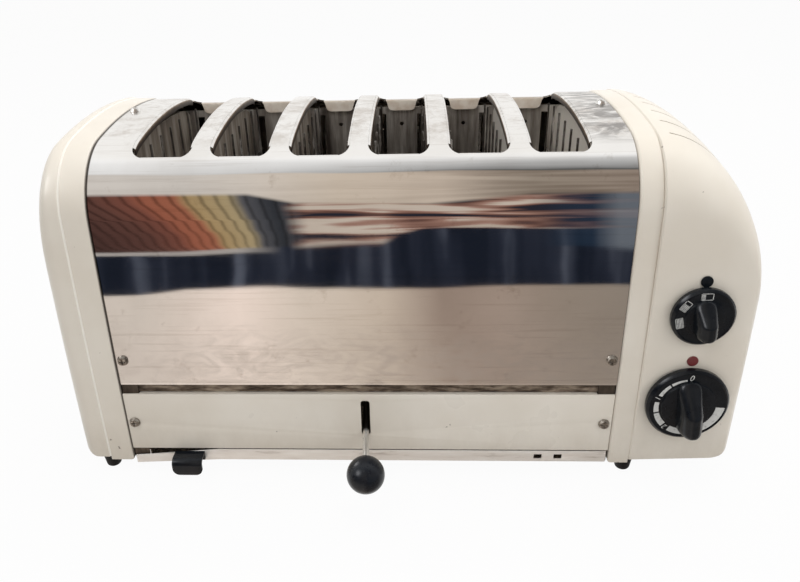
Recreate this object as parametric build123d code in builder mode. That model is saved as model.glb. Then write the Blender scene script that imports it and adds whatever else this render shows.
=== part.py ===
from build123d import *
from math import atan, cos, pi, radians, sin, sqrt, tan
import os

os.makedirs("parts", exist_ok=True)

# Six-slot toaster with a hand-worked ejector. Millimetres, +Z up, the feet stand on Z = 0.
# The lever and the knobs face -Y. X runs along the six slots.

# Bread slots
slot_count = 6
slot_pitch = 50.0
slot_width = 36.0
slot_length = 152.0
slot_corner_r = 7.0
flange_depth = 5.0
tab_width = 25.0
tab_depth = 9.5

# Feet
foot_height = 12.5
foot_top_r = 7.2
foot_taper = 8.0
foot_round_r = 2.5
foot_y = 95.0
foot_inset_left = 21.2
foot_inset_right = 14.4

# Arched body: half depth, height and the bends of the side profile
body_half_depth = 105.2
body_top_z = 241.0
slot_side_margin = 27.0
side_lean = 0.0127
side_bulge_r = 3030.0
shoulder_r = 46.0
crown_turn = 8.4
sheet = 1.0
cover_bottom_z = 76.5
cover_gap = 0.4

# End castings
casting_wall = 2.8
band_proud = 0.8
left_band = 17.0
left_reach = 38.0
left_step = 0.7
left_dome_drop = 113.0
left_dome_power = 3.3
left_end_shoulder_r = 41.0
left_edge_x = 13.5
left_edge_y = 14.5
right_band = 14.2
right_reach = 84.0
box_proud = 1.2
box_lean = 0.0
right_dome_drop = 90.0
right_dome_power = 1.9
right_end_shoulder_r = 28.5
right_edge_x = 8.0
right_edge_y = 14.0
left_corner_r = 12.0
right_corner_r = 15.0
dome_lift = 3.0
right_end_rise = 2.4
boss_r = 5.0
boss_front_y = 55.0
boss_rear_y = 62.0
boss_zs = (40.0, 120.0)
boss_bore_depth = 8.0

# Louvres in the shoulder of the control casting
louvre_count = 7
louvre_pitch = 21.2
louvre_width = 1.6
louvre_length = 36.0
louvre_start = 8.0
louvre_depth = 40.0

# Lower panels
panel_sheet = 1.2
panel_bottom_z = 22.5
panel_top_z = 68.6
panel_fold = 11.0
lever_slot_width = 6.3
lever_slot_corner_r = 2.0
vent_count = 9
vent_pitch = 26.0
vent_width = 4.0
vent_height = 22.0

# Screws
screw_head_r = 3.9
screw_head_h = 2.2
screw_head_taper = 25.0
screw_shank_r = 1.9
screw_length = 5.0
screw_hole_r = 2.1
recess_width = 0.9
recess_length = 4.4
recess_depth = 1.1
screw_inset = 5.6
cover_screw_z = 95.7
panel_screw_z = 45.2

# Frame: inner plates, rails, guide plates, heat shields, tray runners
plate_thickness = 1.2
plate_bottom_z = 12.6
rim_width = 11.0
rim_sheet = 1.0
rail_height = 16.0
rail_depth = 9.0
rail_sheet = 1.2
guide_plate_y = 79.0
guide_plate_sheet = 1.0
guide_plate_drop = 5.0
guide_plate_bottom_z = 84.0
guide_window_x = 15.2
guide_window_width = 5.4
guide_window_bottom_z = 96.0
guide_window_drop = 24.0
guide_hole_r = 1.6
guide_hole_drop = 32.0
shield_sheet = 0.8
shield_inset = 12.0
runner_width = 14.0
runner_sheet = 1.2
ledge_length = 17.0
ledge_width = 20.0
ledge_sheet = 2.0
lower_ledge_z = 27.0
upper_ledge_z = 82.0

# Heating elements, bus bars and guard wires
element_sheet = 2.4
element_bottom_z = 88.0
element_drop = 10.0
element_slit_count = 10
element_slit_pitch = 14.0
element_slit_width = 1.4
element_slit_bottom_z = 100.0
element_slit_drop = 60.0
bus_bar_y = 60.0
bus_bar_width = 6.0
bus_bar_height = 3.0
guard_wire_r = 0.8
guard_half_gap = 16.0
guard_wire_count = 7
guard_wire_pitch = 22.6
guard_wire_drop = 8.0
guard_low_rail_z = 98.0
guard_high_rail_drop = 51.0

# Ejector
lever_travel = 22.0
rod_r = 2.2
rod_slot_z = 38.3
rod_play = 1.0
rod_slope = 5.1
rod_turn = 2.6
rod_seat_depth = 6.0
ball_r = 12.6
ball_reach = 41.0
ball_bore_depth = 9.0
bar_height = 9.0
bar_depth = 8.0
bar_y = 68.0
bar_z = 36.0
side_bar_width = 6.0
post_r = 3.0
post_inset = 10.0
bush_r = 6.0
eye_r = 7.6
rest_z = 92.0
rest_sheet = 2.0
rest_spine_width = 6.0
rest_half_width = 12.0
rest_length = 140.0
rest_fin_count = 9
rest_fin_pitch = 16.0
rest_fin_width = 2.0
stem_width = 6.0
stem_depth = 3.0

# Crumb tray and its handle
tray_half_width = 158.0
tray_floor_z = 13.9
tray_sheet = 0.8
tray_wall_top_z = 21.0
tray_back_y = 98.0
strip_top_z = 21.6
strip_bottom_z = 12.4
strip_half_width = 168.6
strip_sag = 5.6
strip_droop = 3.2
strip_sag_length = 62.0
handle_x = 128.2
handle_width = 21.5
handle_depth = 12.0
handle_top_z = 20.2
handle_back_z = 13.6
handle_bottom_z = 7.6
handle_sheet = 2.4
handle_corner_r = 5.0
handle_bend_r = 5.0
peg_hole_width = 5.6
peg_hole_height = 3.8
peg_hole_spacing = 14.0
peg_hole_z = 16.7
peg_length = 2.0

# Controls on the right-hand casting
control_x = 45.8
timer_z = 65.6
timer_skirt_r = 27.0
timer_skirt_depth = 5.0
timer_disc_r = 18.0
timer_grip_length = 39.0
timer_grip_width = 15.0
timer_grip_height = 11.5
selector_z = 131.0
selector_skirt_r = 20.0
selector_skirt_depth = 4.5
selector_disc_r = 12.5
selector_grip_length = 29.0
selector_grip_width = 12.0
selector_grip_height = 10.0
disc_height = 1.0
skirt_bevel = 1.6
grip_taper = 7.0
grip_round_r = 1.6
grip_ramp_share = 0.9
knob_gap = 0.8
spindle_r = 3.0
spindle_hole_r = 5.0
spindle_seat_depth = 3.5
spindle_engagement = 10.0
fit_clearance = 0.05
lamp_z = 96.6
lens_r = 3.7
lens_proud = 0.8
lens_round_r = 0.6
lamp_body_r = 4.6
lamp_body_length = 22.0
lamp_window_r = 2.5
plug_z = 153.6
plug_cap_r = 3.8
plug_cap_h = 1.0
plug_stem_r = 2.4
plug_stem_length = 4.5
control_plate_y = 96.5
control_plate_sheet = 1.5
control_plate_width = 73.0
control_plate_bottom_z = 32.0
control_plate_top_z = 152.0
control_flange_depth = 30.0
timer_body_width = 46.0
timer_body_height = 50.0
timer_body_depth = 32.0
timer_body_corner_r = 6.0
switch_body_width = 34.0
switch_body_height = 34.0
switch_body_depth = 26.0
switch_body_corner_r = 3.0
terminal_length = 60.0
terminal_height = 18.0
terminal_depth = 14.0
terminal_z = 60.0
terminal_y = 10.0
terminal_way_count = 5
terminal_way_pitch = 11.0
terminal_way_r = 2.5
terminal_way_depth = 6.0

# Cable inlet bush in the lower rear panel
inlet_x = 140.0
inlet_z = 45.0
inlet_r = 9.0
inlet_bore_r = 4.0
inlet_length = 8.0
inlet_flange_r = 12.0
inlet_flange_h = 3.0

# Clearances between sheets that lie side by side, and under the rims of the frame
side_clearance = 0.3
rim_clearance = 0.1

end_signs = (-1, 1)
base_z = foot_height


def side_half(z, half_depth, lean):
    """Half depth of an arch at height z: a slightly bulged side that leans in."""
    rise = z - base_z
    return half_depth - lean * rise - rise**2 / (2 * side_bulge_r)


# Places worked out from the sizes above. The slots' middle and the body's mid-plane are
# shifted so that X = 0 and Y = 0 are the middle of the whole toaster, ball and all.
cover_half = (slot_count - 1) * slot_pitch / 2 + slot_width / 2 + slot_side_margin
inlet_seat = side_half(inlet_z - inlet_flange_r, body_half_depth, side_lean)
front_reach = body_half_depth + ball_reach + ball_r
rear_reach = inlet_seat + inlet_flange_h
mid_x = (left_reach - right_reach) / 2
mid_y = (front_reach - rear_reach) / 2
slot_xs = [mid_x + (i - (slot_count - 1) / 2) * slot_pitch for i in range(slot_count)]
element_xs = [mid_x + (i - slot_count / 2) * slot_pitch for i in range(slot_count + 1)]
left_edge = mid_x - cover_half
right_edge = mid_x + cover_half
plate_reach = cover_half - cover_gap - side_clearance
plate_inner = plate_reach - plate_thickness
rim_inset = max(sheet, panel_sheet) + rim_clearance
control_mid_x = right_edge + control_x


def arch_points(half_depth, top_z, bend_r, lean):
    """Heights and half depths where the side, the shoulder and the crown of an arch meet."""
    turn = radians(crown_turn)
    start_z = top_z - bend_r
    for _ in range(6):
        start_half = side_half(start_z, half_depth, lean)
        start_turn = pi / 2 - atan(lean + (start_z - base_z) / side_bulge_r)
        end_half = start_half - bend_r * (sin(start_turn) - sin(turn))
        end_z = start_z + bend_r * (cos(turn) - cos(start_turn))
        start_z += top_z - (end_z + end_half * tan(turn / 2))
    half_turn = (start_turn + turn) / 2
    middle_half = start_half - bend_r * (sin(start_turn) - sin(half_turn))
    middle_z = start_z + bend_r * (cos(half_turn) - cos(start_turn))
    return start_half, start_z, middle_half, middle_z, end_half, end_z


def arch(half_depth, top_z, bend_r, lean=side_lean, bottom_z=base_z, drop=0.0):
    """Arch-shaped face for a sketch on a YZ plane: two sides, two shoulders and one crown."""
    points = arch_points(half_depth, top_z, bend_r, lean)
    start_half, start_z, middle_half, middle_z, end_half, end_z = points
    foot_half = side_half(bottom_z, half_depth, lean)
    waist_z = (bottom_z + start_z) / 2
    waist_half = side_half(waist_z, half_depth, lean)
    side_curves = (
        ((foot_half, bottom_z), (waist_half, waist_z), (start_half, start_z)),
        ((start_half, start_z), (middle_half, middle_z), (end_half, end_z)),
    )
    with BuildSketch() as face:
        with BuildLine():
            for side in end_signs:
                for curve in side_curves:
                    ThreePointArc(*[(mid_y + side * half, z - drop) for half, z in curve])
            crown = ((-end_half, end_z), (0, top_z), (end_half, end_z))
            ThreePointArc(*[(mid_y + half, z - drop) for half, z in crown])
            Line((mid_y + foot_half, bottom_z - drop), (mid_y - foot_half, bottom_z - drop))
        make_face()
    return face.sketch_local


def body_arch(inset=0.0, bottom_z=base_z, drop=0.0):
    """The cover's own arch, drawn in by a sheet's thickness where one is given."""
    return arch(
        body_half_depth - inset, body_top_z - inset, shoulder_r - inset, bottom_z=bottom_z, drop=drop)


def shoulder_height(half):
    """Height of the cover over its shoulder, at a distance from the mid-plane."""
    start_half, start_z, _, _, end_half, end_z = arch_points(
        body_half_depth, body_top_z, shoulder_r, side_lean)
    centre_half = end_half - shoulder_r * sin(radians(crown_turn))
    centre_z = end_z - shoulder_r * cos(radians(crown_turn))
    return centre_z + sqrt(shoulder_r**2 - (half - centre_half) ** 2)


def face_plane(x, z, side=-1, proud=0.0, lean=side_lean):
    """Plane on the front (side -1) or rear face of an arch, its Z axis square to the sheet."""
    slope = lean + (z - base_z) / side_bulge_r
    y = mid_y + side * side_half(z, body_half_depth + proud, lean)
    return Plane(origin=(x, y, z), x_dir=(-side, 0, 0), z_dir=(0, side, slope))


def upright_plane(y):
    """Plane seen from the front, at a distance along Y: local X is X and local Y is Z."""
    return Plane(origin=(0, y, 0), x_dir=(1, 0, 0), z_dir=(0, -1, 0))


screw_xs = [mid_x + side * (cover_half - screw_inset) for side in end_signs]
cover_screw_places = [face_plane(x, cover_screw_z, side) for side in end_signs for x in screw_xs]
cover_screw_places += [Plane(origin=(x, mid_y, body_top_z), z_dir=(0, 0, 1)) for x in screw_xs]
panel_screw_places = [face_plane(x, panel_screw_z, side) for side in end_signs for x in screw_xs]
boss_places = [(mid_y + y, z) for y in (-boss_front_y, boss_rear_y) for z in boss_zs]


def screws(places):
    """Pan-head screws with a cross recess, one on each plane, heads outwards."""
    with BuildPart() as group:
        for place in places:
            with BuildSketch(place.offset(-screw_length)):
                Circle(screw_shank_r)
            extrude(amount=screw_length)
            with BuildSketch(place):
                Circle(screw_head_r)
            extrude(amount=screw_head_h, taper=screw_head_taper)
            with BuildSketch(place.offset(screw_head_h)):
                Rectangle(recess_length, recess_width)
                Rectangle(recess_width, recess_length)
            extrude(amount=-recess_depth, mode=Mode.SUBTRACT)
    return group


# Body cover: one stainless sheet bent over front, crown and rear, with the six slots cut in it.
# Their long sides are flanged down along the arch, and a short tab is bent down at each end.
with BuildPart() as body_cover:
    with BuildSketch(Plane.YZ.offset(left_edge + cover_gap)):
        add(body_arch(bottom_z=cover_bottom_z))
        add(body_arch(sheet, bottom_z=cover_bottom_z), mode=Mode.SUBTRACT)
    extrude(amount=2 * (cover_half - cover_gap))
    for slot_x in slot_xs:
        for wall_x in (slot_x - slot_width / 2 - sheet, slot_x + slot_width / 2):
            with BuildSketch(Plane.YZ.offset(wall_x)):
                add(body_arch())
                add(body_arch(drop=flange_depth), mode=Mode.SUBTRACT)
                with Locations((mid_y, body_top_z)):
                    Rectangle(slot_length - 2 * slot_corner_r, slot_length / 2, mode=Mode.INTERSECT)
            extrude(amount=sheet)
        with BuildSketch(Plane.YZ.offset(slot_x - tab_width / 2)):
            add(body_arch())
            add(body_arch(drop=tab_depth), mode=Mode.SUBTRACT)
            tab_y = (slot_length + sheet) / 2
            with Locations((mid_y - tab_y, body_top_z), (mid_y + tab_y, body_top_z)):
                Rectangle(sheet, slot_length / 2, mode=Mode.INTERSECT)
        extrude(amount=tab_width)
    with BuildSketch(Plane.XY.offset(body_top_z + sheet)):
        with Locations(*[(slot_x, mid_y) for slot_x in slot_xs]):
            RectangleRounded(slot_width, slot_length, slot_corner_r)
    extrude(amount=-slot_length / 3, mode=Mode.SUBTRACT)
    for place in cover_screw_places:
        with BuildSketch(place.offset(sheet)):
            Circle(screw_hole_r)
        extrude(amount=-3 * sheet, mode=Mode.SUBTRACT)
body_cover.part.label = "body_cover"


dome_shares = (0, 0.15, 0.3, 0.45, 0.58, 0.68, 0.76, 0.83, 0.89, 0.94, 0.975, 1)


def dome(side, start_x, end_x, sizes, inset=0.0):
    """Outer form of a casting, or of its hollow where an inset is given, as a smooth loft.
    The crown falls away as part of an ellipse, and near the end the faces draw in. The
    underside lies higher than the band's, and may rise towards the end."""
    half_depth, lean, top_z, end_bend_r, floor_z, power, edge_x, edge_y, corner_r, end_rise = sizes
    top_rise = top_z - floor_z
    reach = abs(end_x - start_x) - 2 * inset
    first_x = start_x + side * inset
    bottom_z = base_z + dome_lift + inset
    last_x = first_x + side * reach
    with BuildPart() as form:
        for share in dome_shares:
            turn = radians(90 * share)
            crown_z = floor_z - inset + top_rise * (1 - sin(turn)**power) ** (1 / power)
            near_end = max(0.0, 1 - reach * (1 - sin(turn)) / (edge_x - inset))
            draw_in = (edge_y - inset) * (1 - sqrt(1 - near_end**2))
            bend_r = shoulder_r - inset + (end_bend_r - shoulder_r) * sin(turn)
            with BuildSketch(Plane.YZ.offset(first_x + side * reach * sin(turn))):
                add(arch(half_depth - inset - draw_in, crown_z, bend_r, lean))
        loft()
        with BuildSketch(upright_plane(mid_y - body_top_z)) as outline:
            with BuildLine():
                Polyline(
                    (first_x, bottom_z),
                    (last_x, bottom_z + end_rise),
                    (last_x, bottom_z + body_top_z),
                    (first_x, bottom_z + body_top_z),
                    close=True,
                )
            make_face()
            lower_corners = outline.vertices().sort_by(Axis.Y)[:2]
            end_corner = lower_corners.sort_by(Axis.X)[-1 if side > 0 else 0]
            fillet(end_corner, corner_r - inset)
        extrude(amount=-2 * body_top_z, mode=Mode.INTERSECT)
    return form


def end_casting(side, edge_x, band, reach, sizes):
    """Hollow enamelled end: a plain band beside the cover, the domed end, a low rib inside
    between the two and four screw bosses."""
    band_x = edge_x + side * band
    end_x = edge_x + side * reach
    boss_x = mid_x + side * plate_reach
    outer_form = dome(side, band_x, end_x, sizes)
    hollow_form = dome(side, band_x, end_x, sizes, casting_wall)
    with BuildPart() as casting:
        with BuildSketch(Plane.YZ.offset(edge_x)):
            add(body_arch(-band_proud))
        extrude(amount=side * band)
        add(outer_form.part)
        with BuildSketch(Plane.YZ.offset(edge_x)):
            add(body_arch(casting_wall - band_proud, bottom_z=base_z + casting_wall))
        extrude(amount=side * (band - casting_wall), mode=Mode.SUBTRACT)
        with BuildSketch(Plane.YZ.offset(edge_x)):
            add(body_arch(casting_wall, bottom_z=base_z + dome_lift + 2 * casting_wall))
        extrude(amount=side * (band + 2 * casting_wall), mode=Mode.SUBTRACT)
        add(hollow_form.part, mode=Mode.SUBTRACT)
        with BuildSketch(Plane.YZ.offset(boss_x)):
            with Locations(*boss_places):
                Circle(boss_r)
        extrude(amount=end_x - side * casting_wall / 2 - boss_x)
        with BuildSketch(Plane.YZ.offset(boss_x)):
            with Locations(*boss_places):
                Circle(screw_hole_r)
        extrude(amount=side * boss_bore_depth, mode=Mode.SUBTRACT)
    return casting


# Outer sizes of the two domes: half depth, lean, top, end shoulder, floor, power, rounding of
# the end in plan, radius of the lower corner and rise of the underside
left_half = body_half_depth + band_proud + left_step
left_dome = (
    left_half, side_lean, body_top_z + band_proud + left_step, left_end_shoulder_r,
    body_top_z - left_dome_drop, left_dome_power, left_edge_x, left_edge_y, left_corner_r, 0.0,
)
right_half = body_half_depth + box_proud
right_dome = (
    right_half, box_lean, body_top_z + box_proud, right_end_shoulder_r,
    body_top_z - right_dome_drop, right_dome_power, right_edge_x, right_edge_y,
    right_corner_r, right_end_rise,
)

# Left end casting: shallow, with a fine step where its rounded outer part begins.
left_end_casting = end_casting(-1, left_edge, left_band, left_reach, left_dome)
left_end_casting.part.label = "left_end_casting"

# Right end casting: the housing of the controls, which stands proud of its band, with louvres
# sawn into its crown and holes for the two spindles, the pilot lens and the blanking plug.
right_shell = end_casting(1, right_edge, right_band, right_reach, right_dome)
plug_place = face_plane(control_mid_x, plug_z, proud=box_proud + fit_clearance, lean=box_lean)
with BuildPart() as right_end_casting:
    add(right_shell.part)
    with BuildSketch(Plane.XY.offset(body_top_z + casting_wall)):
        louvre_x = right_edge + right_band + louvre_start + louvre_length / 2
        with Locations((louvre_x, mid_y)):
            with GridLocations(0, louvre_pitch, 1, louvre_count):
                SlotOverall(louvre_length, louvre_width)
    extrude(amount=-louvre_depth, mode=Mode.SUBTRACT)
    with BuildSketch(upright_plane(mid_y - right_half - casting_wall)):
        with Locations((control_mid_x, timer_z), (control_mid_x, selector_z)):
            Circle(spindle_hole_r)
        with Locations((control_mid_x, lamp_z)):
            Circle(lens_r + fit_clearance)
    extrude(amount=-5 * casting_wall, mode=Mode.SUBTRACT)
    with BuildSketch(plug_place.offset(casting_wall)):
        Circle(plug_stem_r + fit_clearance)
    extrude(amount=-3 * casting_wall, mode=Mode.SUBTRACT)
right_end_casting.part.label = "right_end_casting"


def lower_panel(side):
    """Enamelled sheet between the castings, under the cover, folded in at top and bottom."""
    fold_half = plate_reach - rim_width - side_clearance
    with BuildPart() as panel:
        with BuildSketch(Plane.YZ.offset(left_edge + cover_gap)):
            add(body_arch(bottom_z=panel_bottom_z))
            add(body_arch(panel_sheet, bottom_z=panel_bottom_z), mode=Mode.SUBTRACT)
            with Locations((mid_y + side * body_half_depth, (panel_bottom_z + panel_top_z) / 2)):
                Rectangle(body_half_depth, panel_top_z - panel_bottom_z, mode=Mode.INTERSECT)
        extrude(amount=2 * (cover_half - cover_gap))
        with BuildSketch(Plane.YZ.offset(mid_x - fold_half)):
            add(body_arch(panel_sheet / 2, bottom_z=panel_bottom_z))
            add(body_arch(panel_fold, bottom_z=panel_bottom_z), mode=Mode.SUBTRACT)
            with Locations(
                (mid_y + side * body_half_depth, panel_bottom_z + panel_sheet / 2),
                (mid_y + side * body_half_depth, panel_top_z - panel_sheet / 2),
            ):
                Rectangle(body_half_depth, panel_sheet, mode=Mode.INTERSECT)
        extrude(amount=2 * fold_half)
        for place in panel_screw_places:
            with BuildSketch(place.offset(panel_sheet)):
                Circle(screw_hole_r)
            extrude(amount=-3 * panel_sheet, mode=Mode.SUBTRACT)
    return panel


# Lower front panel, with the upright slot in which the ejector lever slides.
front_sheet = lower_panel(-1)
slot_height = lever_travel + 2 * (rod_r + rod_play)
slot_mid_z = rod_slot_z + lever_travel / 2
with BuildPart() as lower_front_panel:
    add(front_sheet.part)
    with BuildSketch(upright_plane(mid_y - body_half_depth - panel_sheet)):
        with Locations((mid_x, slot_mid_z)):
            RectangleRounded(lever_slot_width, slot_height, lever_slot_corner_r)
    extrude(amount=-4 * panel_sheet, mode=Mode.SUBTRACT)
lower_front_panel.part.label = "lower_front_panel"

# Lower rear panel, with a row of vents and the hole of the cable inlet.
rear_sheet = lower_panel(1)
vent_z = (panel_bottom_z + panel_top_z) / 2
with BuildPart() as lower_rear_panel:
    add(rear_sheet.part)
    with BuildSketch(upright_plane(mid_y + body_half_depth + panel_sheet)):
        with Locations((mid_x, vent_z)):
            with GridLocations(vent_pitch, 0, vent_count, 1):
                SlotOverall(vent_height, vent_width, rotation=90)
        with Locations((mid_x + inlet_x, inlet_z)):
            Circle(inlet_r + fit_clearance)
    extrude(amount=4 * panel_sheet, mode=Mode.SUBTRACT)
lower_rear_panel.part.label = "lower_rear_panel"

# Cable inlet bush: a moulded sleeve through the rear panel with a flange outside.
with BuildPart() as inlet_bush:
    with BuildSketch(upright_plane(mid_y + inlet_seat + inlet_flange_h)):
        with Locations((mid_x + inlet_x, inlet_z)):
            Circle(inlet_flange_r)
    extrude(amount=inlet_flange_h)
    fillet(inlet_bush.edges().filter_by(GeomType.CIRCLE).sort_by(Axis.Y)[-1], inlet_flange_h / 3)
    with BuildSketch(upright_plane(mid_y + inlet_seat)):
        with Locations((mid_x + inlet_x, inlet_z)):
            Circle(inlet_r)
    extrude(amount=inlet_length)
    with BuildSketch(upright_plane(mid_y + inlet_seat + inlet_flange_h)):
        with Locations((mid_x + inlet_x, inlet_z)):
            Circle(inlet_bore_r)
    extrude(amount=inlet_flange_h + inlet_length, mode=Mode.SUBTRACT)
inlet_bush.part.label = "inlet_bush"


def inner_plate(side):
    """Steel end plate of the frame: its rim carries cover and panels, its ledges the posts."""
    outer_x = mid_x + side * plate_reach
    with BuildPart() as plate:
        with BuildSketch(Plane.YZ.offset(outer_x)):
            add(body_arch(rim_inset, bottom_z=plate_bottom_z))
        extrude(amount=-side * plate_thickness)
        with BuildSketch(Plane.YZ.offset(outer_x)):
            add(body_arch(rim_inset, bottom_z=plate_bottom_z))
            add(body_arch(rim_inset + rim_sheet, bottom_z=plate_bottom_z), mode=Mode.SUBTRACT)
        extrude(amount=-side * rim_width)
        for ledge_z in (lower_ledge_z, upper_ledge_z):
            with BuildSketch(Plane.XY.offset(ledge_z)):
                with Locations((mid_x + side * (plate_inner - ledge_length / 2), mid_y)):
                    Rectangle(ledge_length, ledge_width)
            extrude(amount=ledge_sheet)
        with BuildSketch(Plane.YZ.offset(outer_x)):
            with Locations(*boss_places):
                Circle(screw_hole_r)
        extrude(amount=-side * plate_thickness, mode=Mode.SUBTRACT)
        for place in cover_screw_places + panel_screw_places:
            with BuildSketch(place):
                Circle(screw_hole_r)
            extrude(amount=-screw_length, mode=Mode.SUBTRACT)
    return plate


left_inner_plate = inner_plate(-1)
left_inner_plate.part.label = "left_inner_plate"
right_inner_plate = inner_plate(1)
right_inner_plate.part.label = "right_inner_plate"


rail_bottom_z = panel_top_z + side_clearance
rail_inset = rim_inset + rim_sheet + side_clearance


def base_rail(side):
    """Channel between the inner plates, seen through the gap under the cover."""
    rail_half = side_half(rail_bottom_z + rail_height, body_half_depth, side_lean) - rail_inset
    rail_mid_z = rail_bottom_z + rail_height / 2
    with BuildPart() as rail:
        with BuildSketch(Plane.YZ.offset(mid_x - plate_inner)):
            with Locations((mid_y + side * (rail_half - rail_depth / 2), rail_mid_z)):
                Rectangle(rail_depth, rail_height)
            with Locations((mid_y + side * (rail_half - rail_sheet - rail_depth / 2), rail_mid_z)):
                Rectangle(rail_depth, rail_height - 2 * rail_sheet, mode=Mode.SUBTRACT)
        extrude(amount=2 * plate_inner)
    return rail


front_rail = base_rail(-1)
front_rail.part.label = "front_rail"
rear_rail = base_rail(1)
rear_rail.part.label = "rear_rail"


def guide_plate(side):
    """Sheet across the ends of all slots. It holds the elements and shows below the end tabs."""
    top_z = shoulder_height(guide_plate_y + guide_plate_sheet) - guide_plate_drop
    window_height = body_top_z - guide_window_drop - guide_window_bottom_z
    window_z = guide_window_bottom_z + window_height / 2
    inner_y = mid_y + side * guide_plate_y
    with BuildPart() as plate:
        with BuildSketch(upright_plane(inner_y)):
            with Locations((mid_x, (guide_plate_bottom_z + top_z) / 2)):
                Rectangle(2 * plate_inner, top_z - guide_plate_bottom_z)
            for slot_x in slot_xs:
                with Locations((slot_x - guide_window_x, window_z), (slot_x + guide_window_x, window_z)):
                    Rectangle(guide_window_width, window_height, mode=Mode.SUBTRACT)
                with Locations((slot_x, body_top_z - guide_hole_drop)):
                    Circle(guide_hole_r, mode=Mode.SUBTRACT)
        extrude(amount=-side * guide_plate_sheet)
    return plate


front_guide_plate = guide_plate(-1)
front_guide_plate.part.label = "front_guide_plate"
rear_guide_plate = guide_plate(1)
rear_guide_plate.part.label = "rear_guide_plate"

# Heat shields: a thin sheet outside the first and the last element.
with BuildPart() as heat_shields:
    for side in end_signs:
        shield_x = mid_x + side * (plate_reach - shield_inset)
        with BuildSketch(Plane.YZ.offset(shield_x)):
            add(body_arch(drop=element_drop))
            with Locations((mid_y, element_bottom_z)):
                Rectangle(
                    2 * guide_plate_y, 2 * body_top_z, align=(Align.CENTER, Align.MIN), mode=Mode.INTERSECT)
        extrude(amount=-side * shield_sheet)
heat_shields.part.label = "heat_shields"

# Tray runners: flat strips along the inner plates that the crumb tray slides on.
with BuildPart() as tray_runners:
    with BuildSketch(Plane.XY.offset(tray_floor_z - fit_clearance - runner_sheet)):
        for side in end_signs:
            with Locations((mid_x + side * (plate_inner - runner_width / 2), mid_y)):
                Rectangle(runner_width, 2 * tray_back_y)
    extrude(amount=runner_sheet)
tray_runners.part.label = "tray_runners"

# Heating elements: upright heat-resistant boards between the slots, with winding slits.
heating_elements = []
for number, element_x in enumerate(element_xs, 1):
    with BuildPart() as element:
        with BuildSketch(Plane.YZ.offset(element_x - element_sheet / 2)):
            add(body_arch(drop=element_drop))
            with Locations((mid_y, element_bottom_z)):
                Rectangle(
                    2 * guide_plate_y, 2 * body_top_z, align=(Align.CENTER, Align.MIN), mode=Mode.INTERSECT)
            slit_height = body_top_z - element_slit_drop - element_slit_bottom_z
            with Locations((mid_y, element_slit_bottom_z + slit_height / 2)):
                with GridLocations(element_slit_pitch, 0, element_slit_count, 1):
                    Rectangle(element_slit_width, slit_height, mode=Mode.SUBTRACT)
        extrude(amount=element_sheet)
    element.part.label = f"heating_element_{number}"
    heating_elements.append(element)

# Bus bars: two strips that join the lower ends of all elements.
with BuildPart() as bus_bars:
    with BuildSketch(Plane.XY.offset(element_bottom_z - bus_bar_height)):
        with Locations((mid_x, mid_y - bus_bar_y), (mid_x, mid_y + bus_bar_y)):
            Rectangle(element_xs[-1] - element_xs[0] + element_sheet, bus_bar_width)
    extrude(amount=bus_bar_height)
bus_bars.part.label = "bus_bars"

# Bread guards: a comb of upright wires on each side of every slot, on two rails behind them.
guard_foot_z = guard_low_rail_z - 2 * guard_wire_r
bread_guards = []
for number, slot_x in enumerate(slot_xs, 1):
    with BuildPart() as guard:
        for side in end_signs:
            wire_x = slot_x + side * guard_half_gap
            for i in range(guard_wire_count):
                wire_y = (i - (guard_wire_count - 1) / 2) * guard_wire_pitch
                wire_top_z = shoulder_height(max(abs(wire_y), slot_length / 3)) - guard_wire_drop
                with BuildSketch(Plane.XY.offset(guard_foot_z)):
                    with Locations((wire_x, mid_y + wire_y)):
                        Circle(guard_wire_r)
                extrude(amount=wire_top_z - guard_foot_z)
            for rail_z in (guard_low_rail_z, body_top_z - guard_high_rail_drop):
                with BuildSketch(upright_plane(mid_y + guide_plate_y)):
                    with Locations((wire_x + side * guard_wire_r, rail_z)):
                        Circle(guard_wire_r)
                extrude(amount=2 * guide_plate_y)
    guard.part.label = f"bread_guard_{number}"
    bread_guards.append(guard)

# Ejector: two cross bars, joined by side bars that slide on the guide posts in bushes.
post_x = plate_inner - post_inset
rod_place = Plane(
    origin=(mid_x, mid_y - body_half_depth, rod_slot_z), x_dir=(1, 0, 0),
    z_dir=(sin(radians(rod_turn)), -cos(radians(rod_turn)), -tan(radians(rod_slope))),
)
rod_inner = (body_half_depth - bar_y - bar_depth / 2 + rod_seat_depth) / cos(radians(rod_slope))
rod_outer = ball_reach / cos(radians(rod_slope))
with BuildPart() as ejector_bars:
    with BuildSketch(Plane.XY.offset(bar_z)):
        with Locations((mid_x, mid_y - bar_y), (mid_x, mid_y + bar_y)):
            Rectangle(2 * post_x + side_bar_width, bar_depth)
    extrude(amount=bar_height)
    with BuildSketch(rod_place.offset(-rod_inner)):
        Circle(rod_r + fit_clearance)
    extrude(amount=rod_inner, mode=Mode.SUBTRACT)
ejector_bars.part.label = "ejector_bars"

with BuildPart() as ejector_side_bars:
    with BuildSketch(Plane.XY.offset(bar_z)):
        for side in end_signs:
            with Locations((mid_x + side * post_x, mid_y)):
                Rectangle(side_bar_width, 2 * bar_y - bar_depth)
                Circle(eye_r)
                Circle(bush_r, mode=Mode.SUBTRACT)
    extrude(amount=bar_height)
ejector_side_bars.part.label = "ejector_side_bars"

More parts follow.
